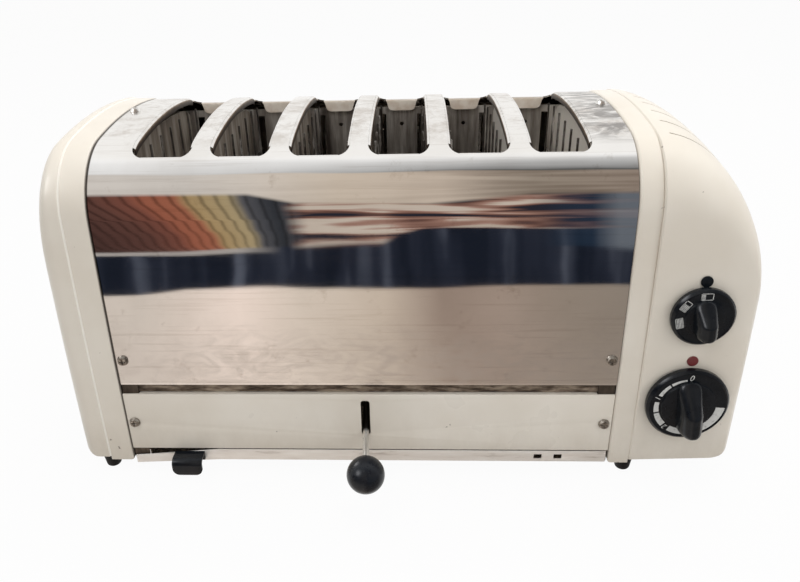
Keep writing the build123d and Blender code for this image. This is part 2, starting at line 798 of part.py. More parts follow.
# Guide bushes and posts. The bushes rest on the lower ledges when the lever is down.
bush_bottom_z = lower_ledge_z + ledge_sheet + side_clearance
with BuildPart() as guide_bushes:
    with BuildSketch(Plane.XY.offset(bush_bottom_z)):
        with Locations((mid_x - post_x, mid_y), (mid_x + post_x, mid_y)):
            Circle(bush_r)
            Circle(post_r + fit_clearance, mode=Mode.SUBTRACT)
    extrude(amount=bar_z + bar_height - bush_bottom_z)
guide_bushes.part.label = "guide_bushes"

with BuildPart() as guide_posts:
    with BuildSketch(Plane.XY.offset(lower_ledge_z + ledge_sheet)):
        with Locations((mid_x - post_x, mid_y), (mid_x + post_x, mid_y)):
            Circle(post_r)
    extrude(amount=upper_ledge_z - lower_ledge_z - ledge_sheet)
guide_posts.part.label = "guide_posts"

# Bread rests: a slotted strip under each slot, on two stems from the cross bars.
with BuildPart() as rest_stems:
    with BuildSketch(Plane.XY.offset(bar_z + bar_height)):
        for slot_x in slot_xs:
            with Locations((slot_x, mid_y - bar_y), (slot_x, mid_y + bar_y)):
                Rectangle(stem_width, stem_depth)
    extrude(amount=rest_z - bar_z - bar_height)
rest_stems.part.label = "rest_stems"

bread_rests = []
for number, slot_x in enumerate(slot_xs, 1):
    with BuildPart() as rest:
        with BuildSketch(Plane.XY.offset(rest_z)):
            with Locations((slot_x, mid_y)):
                Rectangle(rest_spine_width, rest_length)
                with GridLocations(0, rest_fin_pitch, 1, rest_fin_count):
                    Rectangle(2 * rest_half_width, rest_fin_width)
        extrude(amount=rest_sheet)
    rest.part.label = f"bread_rest_{number}"
    bread_rests.append(rest)

# Ejector lever: a round rod through the panel's slot, and its ball.
with BuildPart() as lever_rod:
    with BuildSketch(rod_place.offset(-rod_inner)):
        Circle(rod_r)
    extrude(amount=rod_inner + rod_outer - ball_r + ball_bore_depth)
lever_rod.part.label = "lever_rod"

ball_centre = rod_place.offset(rod_outer).origin
with BuildPart() as lever_ball:
    with Locations(ball_centre):
        Sphere(ball_r)
    with BuildSketch(rod_place.offset(rod_outer - ball_r - rod_r)):
        Circle(rod_r + fit_clearance)
    extrude(amount=ball_bore_depth + rod_r, mode=Mode.SUBTRACT)
lever_ball.part.label = "lever_ball"

# Crumb tray: a shallow pan with a front strip, whose left end has sagged. The strip has two
# pairs of holes for clip-on handles.
strip_y = mid_y - side_half((strip_bottom_z + strip_top_z) / 2, body_half_depth, side_lean)
handle_xs = (mid_x - handle_x, mid_x + handle_x)
with BuildPart() as crumb_tray:
    with BuildSketch(Plane.XY.offset(tray_floor_z)):
        with Locations((mid_x, (strip_y + tray_sheet / 2 + mid_y + tray_back_y) / 2)):
            pan = Rectangle(2 * tray_half_width, mid_y + tray_back_y - strip_y - tray_sheet / 2)
    extrude(amount=tray_sheet)
    with BuildSketch(Plane.XY.offset(tray_floor_z)):
        add(pan)
        with Locations((mid_x, (strip_y + mid_y + tray_back_y) / 2 - tray_sheet)):
            Rectangle(
                2 * (tray_half_width - tray_sheet), mid_y + tray_back_y - strip_y, mode=Mode.SUBTRACT)
    extrude(amount=tray_wall_top_z - tray_floor_z)
    with BuildSketch(upright_plane(strip_y + tray_sheet)):
        with BuildLine():
            Polyline(
                (mid_x - strip_half_width, strip_bottom_z - strip_droop),
                (mid_x - strip_half_width + strip_sag_length, strip_bottom_z),
                (mid_x + strip_half_width, strip_bottom_z),
                (mid_x + strip_half_width, strip_top_z),
                (mid_x - strip_half_width + strip_sag_length, strip_top_z),
                (mid_x - strip_half_width, strip_top_z - strip_sag),
                close=True,
            )
        make_face()
        for x in handle_xs:
            with Locations((x, peg_hole_z)):
                with GridLocations(peg_hole_spacing, 0, 2, 1):
                    Rectangle(peg_hole_width, peg_hole_height, mode=Mode.SUBTRACT)
    extrude(amount=tray_sheet)
crumb_tray.part.label = "crumb_tray"

# Tray handle: a bent plastic tab clipped into the strip at the left. The right one is missing.
with BuildPart() as tray_handle:
    with BuildSketch(Plane.YZ.offset(handle_xs[0] - handle_width / 2)):
        with BuildLine():
            Polyline(
                (strip_y, handle_back_z),
                (strip_y, handle_top_z),
                (strip_y - handle_depth, handle_top_z),
                (strip_y - handle_depth, handle_bottom_z),
                (strip_y - handle_depth + handle_sheet, handle_bottom_z),
                (strip_y - handle_depth + handle_sheet, handle_top_z - handle_sheet),
                (strip_y - handle_sheet, handle_top_z - handle_sheet),
                (strip_y - handle_sheet, handle_back_z),
                close=True,
            )
        make_face()
    extrude(amount=handle_width)
    inner_bend = (handle_xs[0], strip_y - handle_depth + handle_sheet, handle_top_z - handle_sheet)
    along_x = tray_handle.edges().filter_by(Axis.X)
    fillet(along_x.group_by(Axis.Z)[-1].sort_by(Axis.Y)[0], handle_bend_r)
    along_x = tray_handle.edges().filter_by(Axis.X)
    fillet(along_x.sort_by_distance(inner_bend)[0], handle_bend_r - handle_sheet)
    fillet(tray_handle.edges().filter_by(Axis.Y).group_by(Axis.Z)[0], handle_corner_r)
    with BuildSketch(upright_plane(strip_y + peg_length)):
        with Locations((handle_xs[0], peg_hole_z)):
            with GridLocations(peg_hole_spacing, 0, 2, 1):
                Rectangle(peg_hole_width - 2 * fit_clearance, peg_hole_height - 2 * fit_clearance)
    extrude(amount=peg_length + handle_sheet / 2)
tray_handle.part.label = "tray_handle"

# Feet: tapered rubber studs under the four corners of the castings, seated half under the dome
# and half under the lower band.
with BuildPart() as feet:
    with BuildSketch(Plane.XY.offset(base_z + dome_lift)):
        for foot_x in (left_edge - foot_inset_left, right_edge + foot_inset_right):
            with Locations((foot_x, mid_y - foot_y), (foot_x, mid_y + foot_y)):
                Circle(foot_top_r)
    extrude(amount=-foot_height - dome_lift, taper=foot_taper)
    fillet(feet.edges().filter_by(GeomType.CIRCLE).group_by(Axis.Z)[0], foot_round_r)
    with BuildSketch(Plane.XY.offset(base_z)):
        with Locations((left_edge - left_band, mid_y)):
            bands_span = right_edge + right_band - left_edge + left_band
            Rectangle(bands_span, 2 * body_half_depth, align=(Align.MIN, Align.CENTER))
    extrude(amount=dome_lift, mode=Mode.SUBTRACT)
feet.part.label = "feet"

# Screws of the cover, of the lower panels and of the castings, the last from inside.
cover_screws = screws(cover_screw_places)
cover_screws.part.label = "cover_screws"
panel_screws = screws(panel_screw_places)
panel_screws.part.label = "panel_screws"
casting_screws = screws([
    Plane(origin=(mid_x + side * plate_inner, y, z), x_dir=(0, 1, 0), z_dir=(-side, 0, 0))
    for side in end_signs for y, z in boss_places
])
casting_screws.part.label = "casting_screws"

# Control plate: an angle on the right inner plate that carries timer, switch and pilot lamp.
control_y = mid_y - control_plate_y
plate_face_x = mid_x + plate_reach
with BuildPart() as control_plate:
    with BuildSketch(Plane.XY.offset(control_plate_bottom_z)):
        with Locations((plate_face_x, control_y)):
            Rectangle(control_plate_width, control_plate_sheet, align=(Align.MIN, Align.MIN))
            Rectangle(control_plate_sheet, control_flange_depth, align=(Align.MIN, Align.MIN))
    extrude(amount=control_plate_top_z - control_plate_bottom_z)
    with BuildSketch(upright_plane(control_y)):
        with Locations((control_mid_x, timer_z), (control_mid_x, selector_z)):
            Circle(spindle_hole_r)
        with Locations((control_mid_x, lamp_z)):
            Circle(lamp_window_r)
    extrude(amount=-control_plate_sheet, mode=Mode.SUBTRACT)
control_plate.part.label = "control_plate"


control_back_y = control_y + control_plate_sheet


def control_body(z, width, height, depth, corner_r):
    """Moulded body behind the control plate, with the bore that its spindle turns in."""
    with BuildPart() as body:
        with BuildSketch(upright_plane(control_back_y)):
            with Locations((control_mid_x, z)):
                RectangleRounded(width, height, corner_r)
        extrude(amount=-depth)
        with BuildSketch(upright_plane(control_back_y)):
            with Locations((control_mid_x, z)):
                Circle(spindle_r + fit_clearance)
        extrude(amount=-spindle_engagement - spindle_r, mode=Mode.SUBTRACT)
    return body


timer_body = control_body(
    timer_z, timer_body_width, timer_body_height, timer_body_depth, timer_body_corner_r)
timer_body.part.label = "timer_body"
selector_switch = control_body(
    selector_z, switch_body_width, switch_body_height, switch_body_depth, switch_body_corner_r)
selector_switch.part.label = "selector_switch"


def knob_seat_y(z, skirt_r):
    """Y of a skirt's rear face, just clear of the casting at the skirt's lowest point."""
    return mid_y - side_half(z - skirt_r, right_half, box_lean) - knob_gap


def spindle(z, skirt_r, skirt_depth):
    """Round spindle from inside its knob to inside the body that it turns in."""
    start_y = knob_seat_y(z, skirt_r) - skirt_depth - disc_height + spindle_seat_depth
    with BuildPart() as shaft:
        with BuildSketch(upright_plane(start_y)):
            with Locations((control_mid_x, z)):
                Circle(spindle_r)
        extrude(amount=start_y - control_back_y - spindle_engagement)
    return shaft


def knob(z, skirt_r, skirt_depth, disc_r, grip_length, grip_width, grip_height):
    """Knob with a bevelled skirt, a raised disc and a bar grip whose upper end is ramped."""
    rear_y = knob_seat_y(z, skirt_r)
    disc_y = rear_y - skirt_depth - disc_height
    with BuildPart() as body:
        with BuildSketch(upright_plane(rear_y)):
            with Locations((control_mid_x, z)):
                Circle(skirt_r)
        extrude(amount=skirt_depth)
        chamfer(body.edges().filter_by(GeomType.CIRCLE).sort_by(Axis.Y)[0], skirt_bevel)
        with BuildSketch(upright_plane(rear_y - skirt_depth)):
            with Locations((control_mid_x, z)):
                Circle(disc_r)
        extrude(amount=disc_height)
        with BuildSketch(upright_plane(rear_y - skirt_depth)):
            with Locations((control_mid_x, z)):
                RectangleRounded(grip_width, grip_length, grip_width / 3)
        extrude(amount=grip_height + disc_height, taper=grip_taper)
        ramp = grip_height * grip_ramp_share
        with BuildSketch(Plane.YZ.offset(control_mid_x - grip_width)):
            with BuildLine():
                Polyline(
                    (disc_y, z + grip_length / 2),
                    (disc_y - grip_height - disc_height, z + grip_length / 2 - ramp),
                    (disc_y - grip_height - disc_height, z + grip_length / 2),
                    close=True,
                )
            make_face()
        extrude(amount=2 * grip_width, mode=Mode.SUBTRACT)
        fillet(body.edges().group_by(Axis.Y)[0], grip_round_r)
        with BuildSketch(upright_plane(rear_y)):
            with Locations((control_mid_x, z)):
                Circle(spindle_r + fit_clearance)
        extrude(amount=skirt_depth + disc_height - spindle_seat_depth, mode=Mode.SUBTRACT)
    return body


timer_knob = knob(
    timer_z, timer_skirt_r, timer_skirt_depth, timer_disc_r,
    timer_grip_length, timer_grip_width, timer_grip_height,
)
timer_knob.part.label = "timer_knob"
timer_spindle = spindle(timer_z, timer_skirt_r, timer_skirt_depth)
timer_spindle.part.label = "timer_spindle"
selector_knob = knob(
    selector_z, selector_skirt_r, selector_skirt_depth, selector_disc_r,
    selector_grip_length, selector_grip_width, selector_grip_height,
)
selector_knob.part.label = "selector_knob"
selector_spindle = spindle(selector_z, selector_skirt_r, selector_skirt_depth)
selector_spindle.part.label = "selector_spindle"

# Pilot lamp: a red lens through the casting and the lamp body behind the control plate.
lens_y = mid_y - side_half(lamp_z, right_half, box_lean) - lens_proud
with BuildPart() as pilot_lens:
    with BuildSketch(upright_plane(lens_y)):
        with Locations((control_mid_x, lamp_z)):
            Circle(lens_r)
    extrude(amount=lens_y - control_y)
    fillet(pilot_lens.edges().filter_by(GeomType.CIRCLE).sort_by(Axis.Y)[0], lens_round_r)
pilot_lens.part.label = "pilot_lens"

with BuildPart() as pilot_lamp:
    with BuildSketch(upright_plane(control_back_y)):
        with Locations((control_mid_x, lamp_z)):
            Circle(lamp_body_r)
    extrude(amount=-lamp_body_length)
pilot_lamp.part.label = "pilot_lamp"

# Blanking plug above the selector: a cap on a stem pressed into the casting.
with BuildPart() as index_plug:
    with BuildSketch(plug_place):
        Circle(plug_cap_r)
    extrude(amount=plug_cap_h)
    with BuildSketch(plug_place):
        Circle(plug_stem_r)
    extrude(amount=-plug_stem_length)
index_plug.part.label = "index_plug"

# Terminal block on the right inner plate, inside the control casting.
with BuildPart() as terminal_block:
    with BuildSketch(Plane.YZ.offset(plate_face_x)):
        with Locations((mid_y + terminal_y, terminal_z)):
            Rectangle(terminal_length, terminal_height)
    extrude(amount=terminal_depth)
    with BuildSketch(Plane.YZ.offset(plate_face_x + terminal_depth)):
        with Locations((mid_y + terminal_y, terminal_z)):
            with GridLocations(terminal_way_pitch, 0, terminal_way_count, 1):
                Circle(terminal_way_r)
    extrude(amount=-terminal_way_depth, mode=Mode.SUBTRACT)
terminal_block.part.label = "terminal_block"

pieces = [
    body_cover, left_end_casting, right_end_casting, lower_front_panel, lower_rear_panel,
    inlet_bush, left_inner_plate, right_inner_plate, front_rail, rear_rail, front_guide_plate,
    rear_guide_plate, heat_shields, tray_runners, bus_bars, guide_posts, cover_screws,
    panel_screws, casting_screws, feet, control_plate, timer_body, selector_switch, pilot_lens,
    pilot_lamp, index_plug, terminal_block, ejector_bars, ejector_side_bars, guide_bushes,
    rest_stems, lever_rod, lever_ball, crumb_tray, tray_handle, timer_knob, timer_spindle,
    selector_knob, selector_spindle,
]
for piece in pieces + heating_elements + bread_guards + bread_rests:
    export_step(piece.part, f"parts/{piece.part.label}.step")
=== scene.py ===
import bpy
from math import atan, cos, pi, radians, sin, sqrt, tan
from mathutils import Matrix, Vector


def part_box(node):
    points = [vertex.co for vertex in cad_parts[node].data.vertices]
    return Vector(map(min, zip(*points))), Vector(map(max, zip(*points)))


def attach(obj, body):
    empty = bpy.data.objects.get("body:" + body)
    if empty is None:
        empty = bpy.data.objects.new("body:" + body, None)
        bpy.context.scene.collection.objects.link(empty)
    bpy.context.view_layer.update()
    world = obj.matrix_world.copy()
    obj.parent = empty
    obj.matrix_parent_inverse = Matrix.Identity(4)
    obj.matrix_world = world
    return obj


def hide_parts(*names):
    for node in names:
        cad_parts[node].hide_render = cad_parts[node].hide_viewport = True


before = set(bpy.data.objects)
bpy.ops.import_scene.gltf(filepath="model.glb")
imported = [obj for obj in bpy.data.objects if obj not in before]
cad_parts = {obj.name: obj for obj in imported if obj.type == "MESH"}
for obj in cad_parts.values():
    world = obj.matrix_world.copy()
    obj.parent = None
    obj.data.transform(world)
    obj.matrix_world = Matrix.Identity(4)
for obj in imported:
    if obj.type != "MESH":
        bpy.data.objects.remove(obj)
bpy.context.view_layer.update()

# The camera: above the front and looking down at the toaster, at the photograph's viewing angle.
# Its place, turn and focal length come from the edges of the body and its known length.
camera_place = Vector((0.0104, -0.4957, 0.3612))
camera_yaw, camera_pitch, camera_roll = radians(3.13), radians(27.18), radians(1.70)
focal_px, principal_px, image_px = 736.5, (377.1, 293.6), (800, 582)
sensor_mm = 36.0
camera_data = bpy.data.cameras.new("camera")
camera_data.sensor_width = sensor_mm
camera_data.lens = focal_px / image_px[0] * sensor_mm
camera_data.shift_x = (image_px[0] / 2 - principal_px[0]) / image_px[0]
camera_data.shift_y = (principal_px[1] - image_px[1] / 2) / image_px[0]
camera_data.clip_start = 0.01
camera = bpy.data.objects.new("camera", camera_data)
bpy.context.scene.collection.objects.link(camera)
camera.matrix_world = (
    Matrix.Translation(camera_place)
    @ Matrix.Rotation(camera_yaw, 4, "Z")
    @ Matrix.Rotation(pi / 2 - camera_pitch, 4, "X")
    @ Matrix.Rotation(-camera_roll, 4, "Z")
)
bpy.context.scene.camera = camera
bpy.context.scene.view_settings.view_transform = "Standard"

# The studio: a pale floor, a white background and soft light from above and from the left.
# The polished sheet mirrors a plain room: a pale table, a dark band, a many-coloured wall, a ceiling.


def node(tree, kind, inputs=None, **settings):
    """A shader node with its settings, its input values and its links from other nodes."""
    made = tree.nodes.new("ShaderNode" + kind)
    for key, value in settings.items():
        setattr(made, key, value)
    for key, value in (inputs or {}).items():
        if isinstance(value, bpy.types.NodeSocket):
            tree.links.new(value, made.inputs[key])
        else:
            made.inputs[key].default_value = value
    return made


def ramp(tree, fac, stops):
    """Colour ramp through (place, colour) stops; a grey is given as one number."""
    made = node(tree, "ValToRGB", {"Fac": fac})
    elements = made.color_ramp.elements
    elements.remove(elements[1])
    elements[0].position = stops[0][0]
    for place, colour in stops:
        element = elements[0] if place == stops[0][0] else elements.new(place)
        grey = isinstance(colour, (int, float))
        element.color = (colour, colour, colour, 1) if grey else (*colour, 1)
    return made.outputs["Color"]


def fade(tree, value, start, end, low=0.0, high=1.0):
    """A change from low to high while the value goes from start to end."""
    return ramp(tree, value, ((start, low), (end, high)))


def math(tree, operation, first, second=0.0):
    """One operation on two values or sockets."""
    return node(tree, "Math", {0: first, 1: second}, operation=operation).outputs[0]


def plus(tree, first, second):
    """The sum of two values or sockets."""
    return math(tree, "ADD", first, second)


def minus(tree, first, second):
    """The first value or socket less the second."""
    return math(tree, "SUBTRACT", first, second)


def times(tree, first, second):
    """The product of two values or sockets."""
    return math(tree, "MULTIPLY", first, second)


def over(tree, first, second):
    """The first value or socket divided by the second."""
    return math(tree, "DIVIDE", first, second)


def noise(tree, vector, scale, detail=4.0, roughness=0.55, distortion=0.0):
    """Cloudy noise, from 0 to 1."""
    return node(tree, "TexNoise", {
        "Vector": vector, "Scale": scale, "Detail": detail, "Roughness": roughness,
        "Distortion": distortion,
    }).outputs["Fac"]


def ripple(tree, vector, scale, detail, size):
    """Cloudy noise around 0, as large as the size."""
    return times(tree, minus(tree, noise(tree, vector, scale, detail), 0.5), size)


def scaled(tree, place, scale):
    """The place stretched by a scale along X, Y and Z."""
    return node(tree, "Mapping", {"Vector": place, "Scale": scale}).outputs["Vector"]


def blend_colours(tree, fac, first, second):
    """Mix of two colours or colour sockets."""
    made = node(tree, "Mix", {"Factor": fac}, data_type="RGBA")
    for socket, value in ((made.inputs[6], first), (made.inputs[7], second)):
        if isinstance(value, bpy.types.NodeSocket):
            tree.links.new(value, socket)
        else:
            socket.default_value = (*value, 1)
    return made.outputs[2]


background_white = (1.0, 1.0, 1.0, 1.0)
ambient_strength = 0.50
window_glare = (8.0, 8.0, 8.2)
table_tones = (
    (0.15, (0.66, 0.585, 0.52)), (0.27, (0.93, 0.785, 0.70)), (0.35, (0.76, 0.66, 0.57)),
    (0.46, (0.62, 0.52, 0.43)), (0.54, (0.32, 0.245, 0.20)), (0.62, (0.37, 0.29, 0.24)),
    (0.70, (0.31, 0.255, 0.21)), (0.78, (0.29, 0.245, 0.205)),
)
upper_tones = (
    (0.20, (0.66, 0.62, 0.58)), (0.40, (0.62, 0.53, 0.44)), (0.54, (0.57, 0.48, 0.40)),
    (0.66, (0.32, 0.27, 0.22)), (0.82, (0.29, 0.23, 0.19)),
)
hanging_tones = (
    (0.110, (0.060, 0.032, 0.028)), (0.175, (0.110, 0.050, 0.040)), (0.203, (0.190, 0.070, 0.050)),
    (0.213, (0.310, 0.105, 0.065)), (0.238, (0.350, 0.125, 0.075)), (0.246, (0.400, 0.280, 0.140)),
    (0.280, (0.390, 0.310, 0.180)), (0.288, (0.090, 0.090, 0.100)), (0.312, (0.030, 0.033, 0.040)),
    (0.335, (0.080, 0.080, 0.090)),
)
navy_tones = (
    (0.42, (0.010, 0.013, 0.022)), (0.56, (0.020, 0.024, 0.038)), (0.72, (0.085, 0.095, 0.125)),
)
streak_tones = (
    (0.42, (0.022, 0.022, 0.032)), (0.50, (0.15, 0.075, 0.058)), (0.58, (0.33, 0.19, 0.15)),
    (0.66, (0.56, 0.48, 0.41)),
)
# How far up the cover, from 0 near its bottom to 1 on its crown, each level of the room is mirrored.
mirror_rows = (
    (0.252, 0.0), (0.283, 0.177), (0.306, 0.300), (0.317, 0.364), (0.329, 0.427), (0.342, 0.491),
    (0.354, 0.559), (0.367, 0.623), (0.380, 0.691), (0.421, 0.741), (0.492, 0.764), (0.632, 0.809),
    (0.762, 0.855), (0.871, 0.900), (0.950, 0.945), (0.993, 0.986), (1.0, 1.0),
)
world = bpy.data.worlds.new("studio")
bpy.context.scene.world = world
world.use_nodes = True
tree = world.node_tree
tree.nodes.clear()

# Where a mirrored direction meets the room: from left to right, up the cover, and to the rear.
direction = node(tree, "TexCoord").outputs["Generated"]
axes = node(tree, "SeparateXYZ", {"Vector": direction}).outputs
side_on = node(tree, "CombineXYZ", {"Y": axes["Y"], "Z": axes["Z"]}).outputs["Vector"]
upright = node(tree, "VectorMath", {0: side_on}, operation="NORMALIZE").outputs["Vector"]
upright = node(tree, "SeparateXYZ", {"Vector": upright}).outputs
from_left = plus(tree, axes["X"], 0.5)
from_front = plus(tree, upright["Y"], 0.5)
level = plus(tree, times(tree, upright["Z"], 0.5), 0.5)
level = plus(tree, level, ripple(tree, direction, 3.0, 2.0, 0.012))
height = ramp(tree, level, mirror_rows)
across = node(tree, "CombineXYZ", {"X": axes["X"], "Y": times(tree, height, 0.286)}).outputs["Vector"]

# The dark band over the table, and striped hangings that lean to the right above a pale sill.
navy = noise(tree, scaled(tree, across, (26.0, 4.0, 1.0)), 1.0, 2.0, 0.5, 0.3)
navy = ramp(tree, navy, navy_tones)
lean = ramp(tree, height, (
    (0.56, 0.0), (0.62, 0.30), (0.69, 0.52), (0.74, 0.72), (0.81, 0.92), (0.88, 1.0)))
slanted = plus(tree, times(tree, axes["X"], 0.39), 0.0507)
slanted = minus(tree, axes["X"], times(tree, lean, slanted))
slanted = plus(tree, slanted, times(tree, noise(tree, across, 5.0, 1.0), 0.006))
folds = node(tree, "CombineXYZ", {"X": slanted}).outputs["Vector"]
folds = node(tree, "TexWave", {"Vector": folds, "Scale": 27.0}).outputs["Fac"]
hangings = node(tree, "Mix", {
    0: 1.0, 6: ramp(tree, plus(tree, slanted, 0.479), hanging_tones),
    7: fade(tree, folds, 0.02, 0.30, 0.45, 1.0),
}, data_type="RGBA", blend_type="MULTIPLY").outputs[2]
sill = blend_colours(tree, fade(tree, from_left, 0.265, 0.325), (0.40, 0.37, 0.35), navy)
fringe = blend_colours(tree, fade(tree, height, 0.588, 0.598), sill, hangings)

# To the right of them level streaks, which turn blue near the right end.
streaks = noise(tree, scaled(tree, across, (5.0, 110.0, 1.0)), 1.0, 2.0, 0.5, 0.2)
paler = ramp(tree, from_left, ((0.32, 0.0), (0.36, 0.10), (0.46, 0.12), (0.50, 0.03), (0.70, 0.0)))
streaks = ramp(tree, plus(tree, streaks, paler), streak_tones)
streak_start = fade(tree, from_left, 0.46, 0.52, 0.58, 0.675)
in_streaks = plus(tree, minus(tree, height, streak_start), 0.5)
streaks = blend_colours(tree, fade(tree, in_streaks, 0.49, 0.52), navy, streaks)
dark_blue, sea_blue, grey_blue = (0.022, 0.024, 0.034), (0.018, 0.034, 0.062), (0.15, 0.17, 0.20)
blues = blend_colours(tree, fade(tree, from_left, 0.66, 0.70), dark_blue, sea_blue)
blues = blend_colours(tree, fade(tree, from_left, 0.735, 0.765), blues, grey_blue)
blue_share = ramp(tree, from_left, ((0.65, 0.0), (0.70, 0.5), (0.765, 0.85)))
streaks = blend_colours(tree, blue_share, streaks, blues)
at_left = fade(tree, plus(tree, slanted, 0.5), 0.340, 0.362, 1.0, 0.0)
wall = blend_colours(tree, at_left, streaks, fringe)

# The table below and the finely streaked upper wall, each with an uneven edge.
dip = ramp(tree, from_left, ((0.145, 0.035), (0.200, 0.0), (0.650, 0.0), (0.800, 0.015)))
past_table = plus(tree, plus(tree, height, dip), ripple(tree, direction, 7.0, 1.0, 0.05))
table = ramp(tree, from_left, table_tones)
room = blend_colours(tree, fade(tree, past_table, 0.426, 0.444), table, navy)
room = blend_colours(tree, fade(tree, height, 0.556, 0.566), room, wall)
thin_streaks = noise(tree, scaled(tree, across, (3.0, 90.0, 1.0)), 1.0, 2.0, 0.5, 0.3)
thin_streaks = times(tree, fade(tree, thin_streaks, 0.46, 0.62, 0.0, 0.7),
                     fade(tree, from_left, 0.45, 0.75, 0.15, 1.0))
upper = blend_colours(tree, thin_streaks, ramp(tree, from_left, upper_tones), (0.15, 0.11, 0.085))
wall_top = ramp(tree, from_left, ((0.28, 0.846), (0.34, 0.805), (0.52, 0.795), (0.66, 0.835)))
past_wall = plus(tree, minus(tree, height, wall_top), 0.5)
room = blend_colours(tree, fade(tree, past_wall, 0.496, 0.512), room, upper)

# The ceiling, seen in the crown: darker to the front and to the right, pale to the rear.
rippled = plus(tree, from_front, ripple(tree, direction, 5.0, 1.0, 0.14))
ceiling = ramp(tree, rippled, (
    (0.08, 0.10), (0.11, 0.24), (0.22, 0.40), (0.38, 0.62), (0.50, 0.95), (0.54, 1.0)))
ceiling_share = ramp(tree, from_left, ((0.15, 0.25), (0.40, 0.60), (0.62, 1.0)))
ceiling = blend_colours(tree, ceiling_share, (1.0, 1.0, 1.0), ceiling)
overhead = times(tree, fade(tree, level, 0.80, 0.90), fade(tree, rippled, 0.05, 0.08))
room = blend_colours(tree, overhead, room, ceiling)
room = blend_colours(tree, fade(tree, from_front, 0.45, 0.62), room, (0.98, 0.97, 0.95))
window_way = Vector((-0.68, -0.45, 0.58)).normalized()
towards = node(tree, "VectorMath", {0: direction, 1: window_way}, operation="DOT_PRODUCT")
room = blend_colours(tree, fade(tree, towards.outputs["Value"], 0.965, 0.992), room, window_glare)

rays = node(tree, "LightPath").outputs
seen = math(tree, "MAXIMUM", rays["Is Camera Ray"], rays["Is Transmission Ray"])
plain = node(tree, "Background", {"Color": background_white, "Strength": ambient_strength})
mirrored = node(tree, "Background", {"Color": room, "Strength": 1.0})
white = node(tree, "Background", {"Color": background_white, "Strength": 1.0})
mixed = node(tree, "MixShader", {
    0: rays["Is Glossy Ray"], 1: plain.outputs[0], 2: mirrored.outputs[0]})
mixed = node(tree, "MixShader", {0: seen, 1: mixed.outputs[0], 2: white.outputs[0]})
node(tree, "OutputWorld", {"Surface": mixed.outputs[0]})


def soft_light(name, place, size, power):
    """A square soft light that points at the toaster's middle."""
    data = bpy.data.lights.new(name, "AREA")
    data.size = size
    data.energy = power
    lamp = bpy.data.objects.new(name, data)
    bpy.context.scene.collection.objects.link(lamp)
    lamp.location = place
    lamp.rotation_euler = (Vector((0, 0, 0.12)) - Vector(place)).to_track_quat("-Z", "Y").to_euler()
    lamp.visible_glossy = False


soft_light("window", (-0.6, -1.0, 1.5), 1.1, 6.5)
soft_light("ceiling", (0.2, 0.3, 1.7), 1.6, 21.0)
soft_light("far_window", (1.3, -1.0, 0.9), 0.9, 6.0)

floor_half, floor_colour, floor_glow = 6.0, (0.62, 0.61, 0.60, 1), 0.955
bpy.ops.object.select_all(action="DESELECT")
bpy.ops.mesh.primitive_plane_add(size=2 * floor_half, location=(0, 0, 0))
floor = bpy.context.object
floor.name = "floor"
floor.visible_glossy = False
floor_material = bpy.data.materials.new("pale_floor")
floor_material.use_nodes = True
tree = floor_material.node_tree
tree.nodes.clear()
paint = node(tree, "BsdfDiffuse", {"Color": floor_colour}).outputs[0]
glow = node(tree, "Emission", {"Color": background_white, "Strength": 1.0}).outputs[0]
share = times(tree, node(tree, "LightPath").outputs["Is Camera Ray"], floor_glow)
mixed = node(tree, "MixShader", {0: share, 1: paint, 2: glow})
node(tree, "OutputMaterial", {"Surface": mixed.outputs[0]})
floor.data.materials.append(floor_material)

# Body cover: one stainless sheet bent over front, crown and rear, polished, with six bread slots
# cut in the crown. Years of wiping have left haze, smears and fine scratches on it.
base_z, body_half, top_z, shoulder_r, crown_turn = 12.5, 105.2, 241.0, 46.0, radians(8.4)
side_lean, side_bulge_r = 0.0127, 3030.0
sheet_mm = 1.0
cover_low, cover_high = [corner * 1000 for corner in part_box("body_cover")]
mid_x, mid_y = (cover_low.x + cover_high.x) / 2, (cover_low.y + cover_high.y) / 2
slot_pitch, slot_width, slot_length, slot_corner_r = 50.0, 36.0, 152.0, 7.0
slot_xs = [mid_x + slot_pitch * (i - 2.5) for i in range(6)]
lip_r, punch_height = 1.2, 100.0


def side_half(z, half, lean=side_lean):
    """Half depth of an arch at a height: a slightly bulged side that leans in."""
    rise = z - base_z
    return half - lean * rise - rise**2 / (2 * side_bulge_r)


def arch_line(half, top, bend_r, lean=side_lean, bottom=base_z, steps=(14, 20, 18)):
    """Points (y, z) over an arch from its front edge to its rear edge: side, shoulder, crown.

    The height at which the shoulder starts is settled in six rounds.
    """
    start_z = top - bend_r
    for _ in range(6):
        start_half = side_half(start_z, half, lean)
        start_turn = pi / 2 - atan(lean + (start_z - base_z) / side_bulge_r)
        end_half = start_half - bend_r * (sin(start_turn) - sin(crown_turn))
        end_z = start_z + bend_r * (cos(crown_turn) - cos(start_turn))
        start_z += top - (end_z + end_half * tan(crown_turn / 2))
    side_steps, bend_steps, crown_steps = steps
    line = []
    for i in range(side_steps):
        z = bottom + (start_z - bottom) * i / side_steps
        line.append((side_half(z, half, lean), z))
    for i in range(bend_steps):
        turn = start_turn + (crown_turn - start_turn) * i / bend_steps
        line.append((
            start_half - bend_r * (sin(start_turn) - sin(turn)),
            start_z + bend_r * (cos(turn) - cos(start_turn)),
        ))
    sag = top - end_z
    crown_r = (end_half**2 + sag**2) / (2 * sag)
    for i in range(crown_steps):
        turn = crown_turn * (1 - i / crown_steps)
        y = end_half * sin(turn) / sin(crown_turn)
        line.append((y, top - crown_r + sqrt(crown_r**2 - y**2)))
    front = [(mid_y - y, z) for y, z in line]
    rear = [(mid_y + y, z) for y, z in reversed(line)]
    return front + [(mid_y, top)] + rear


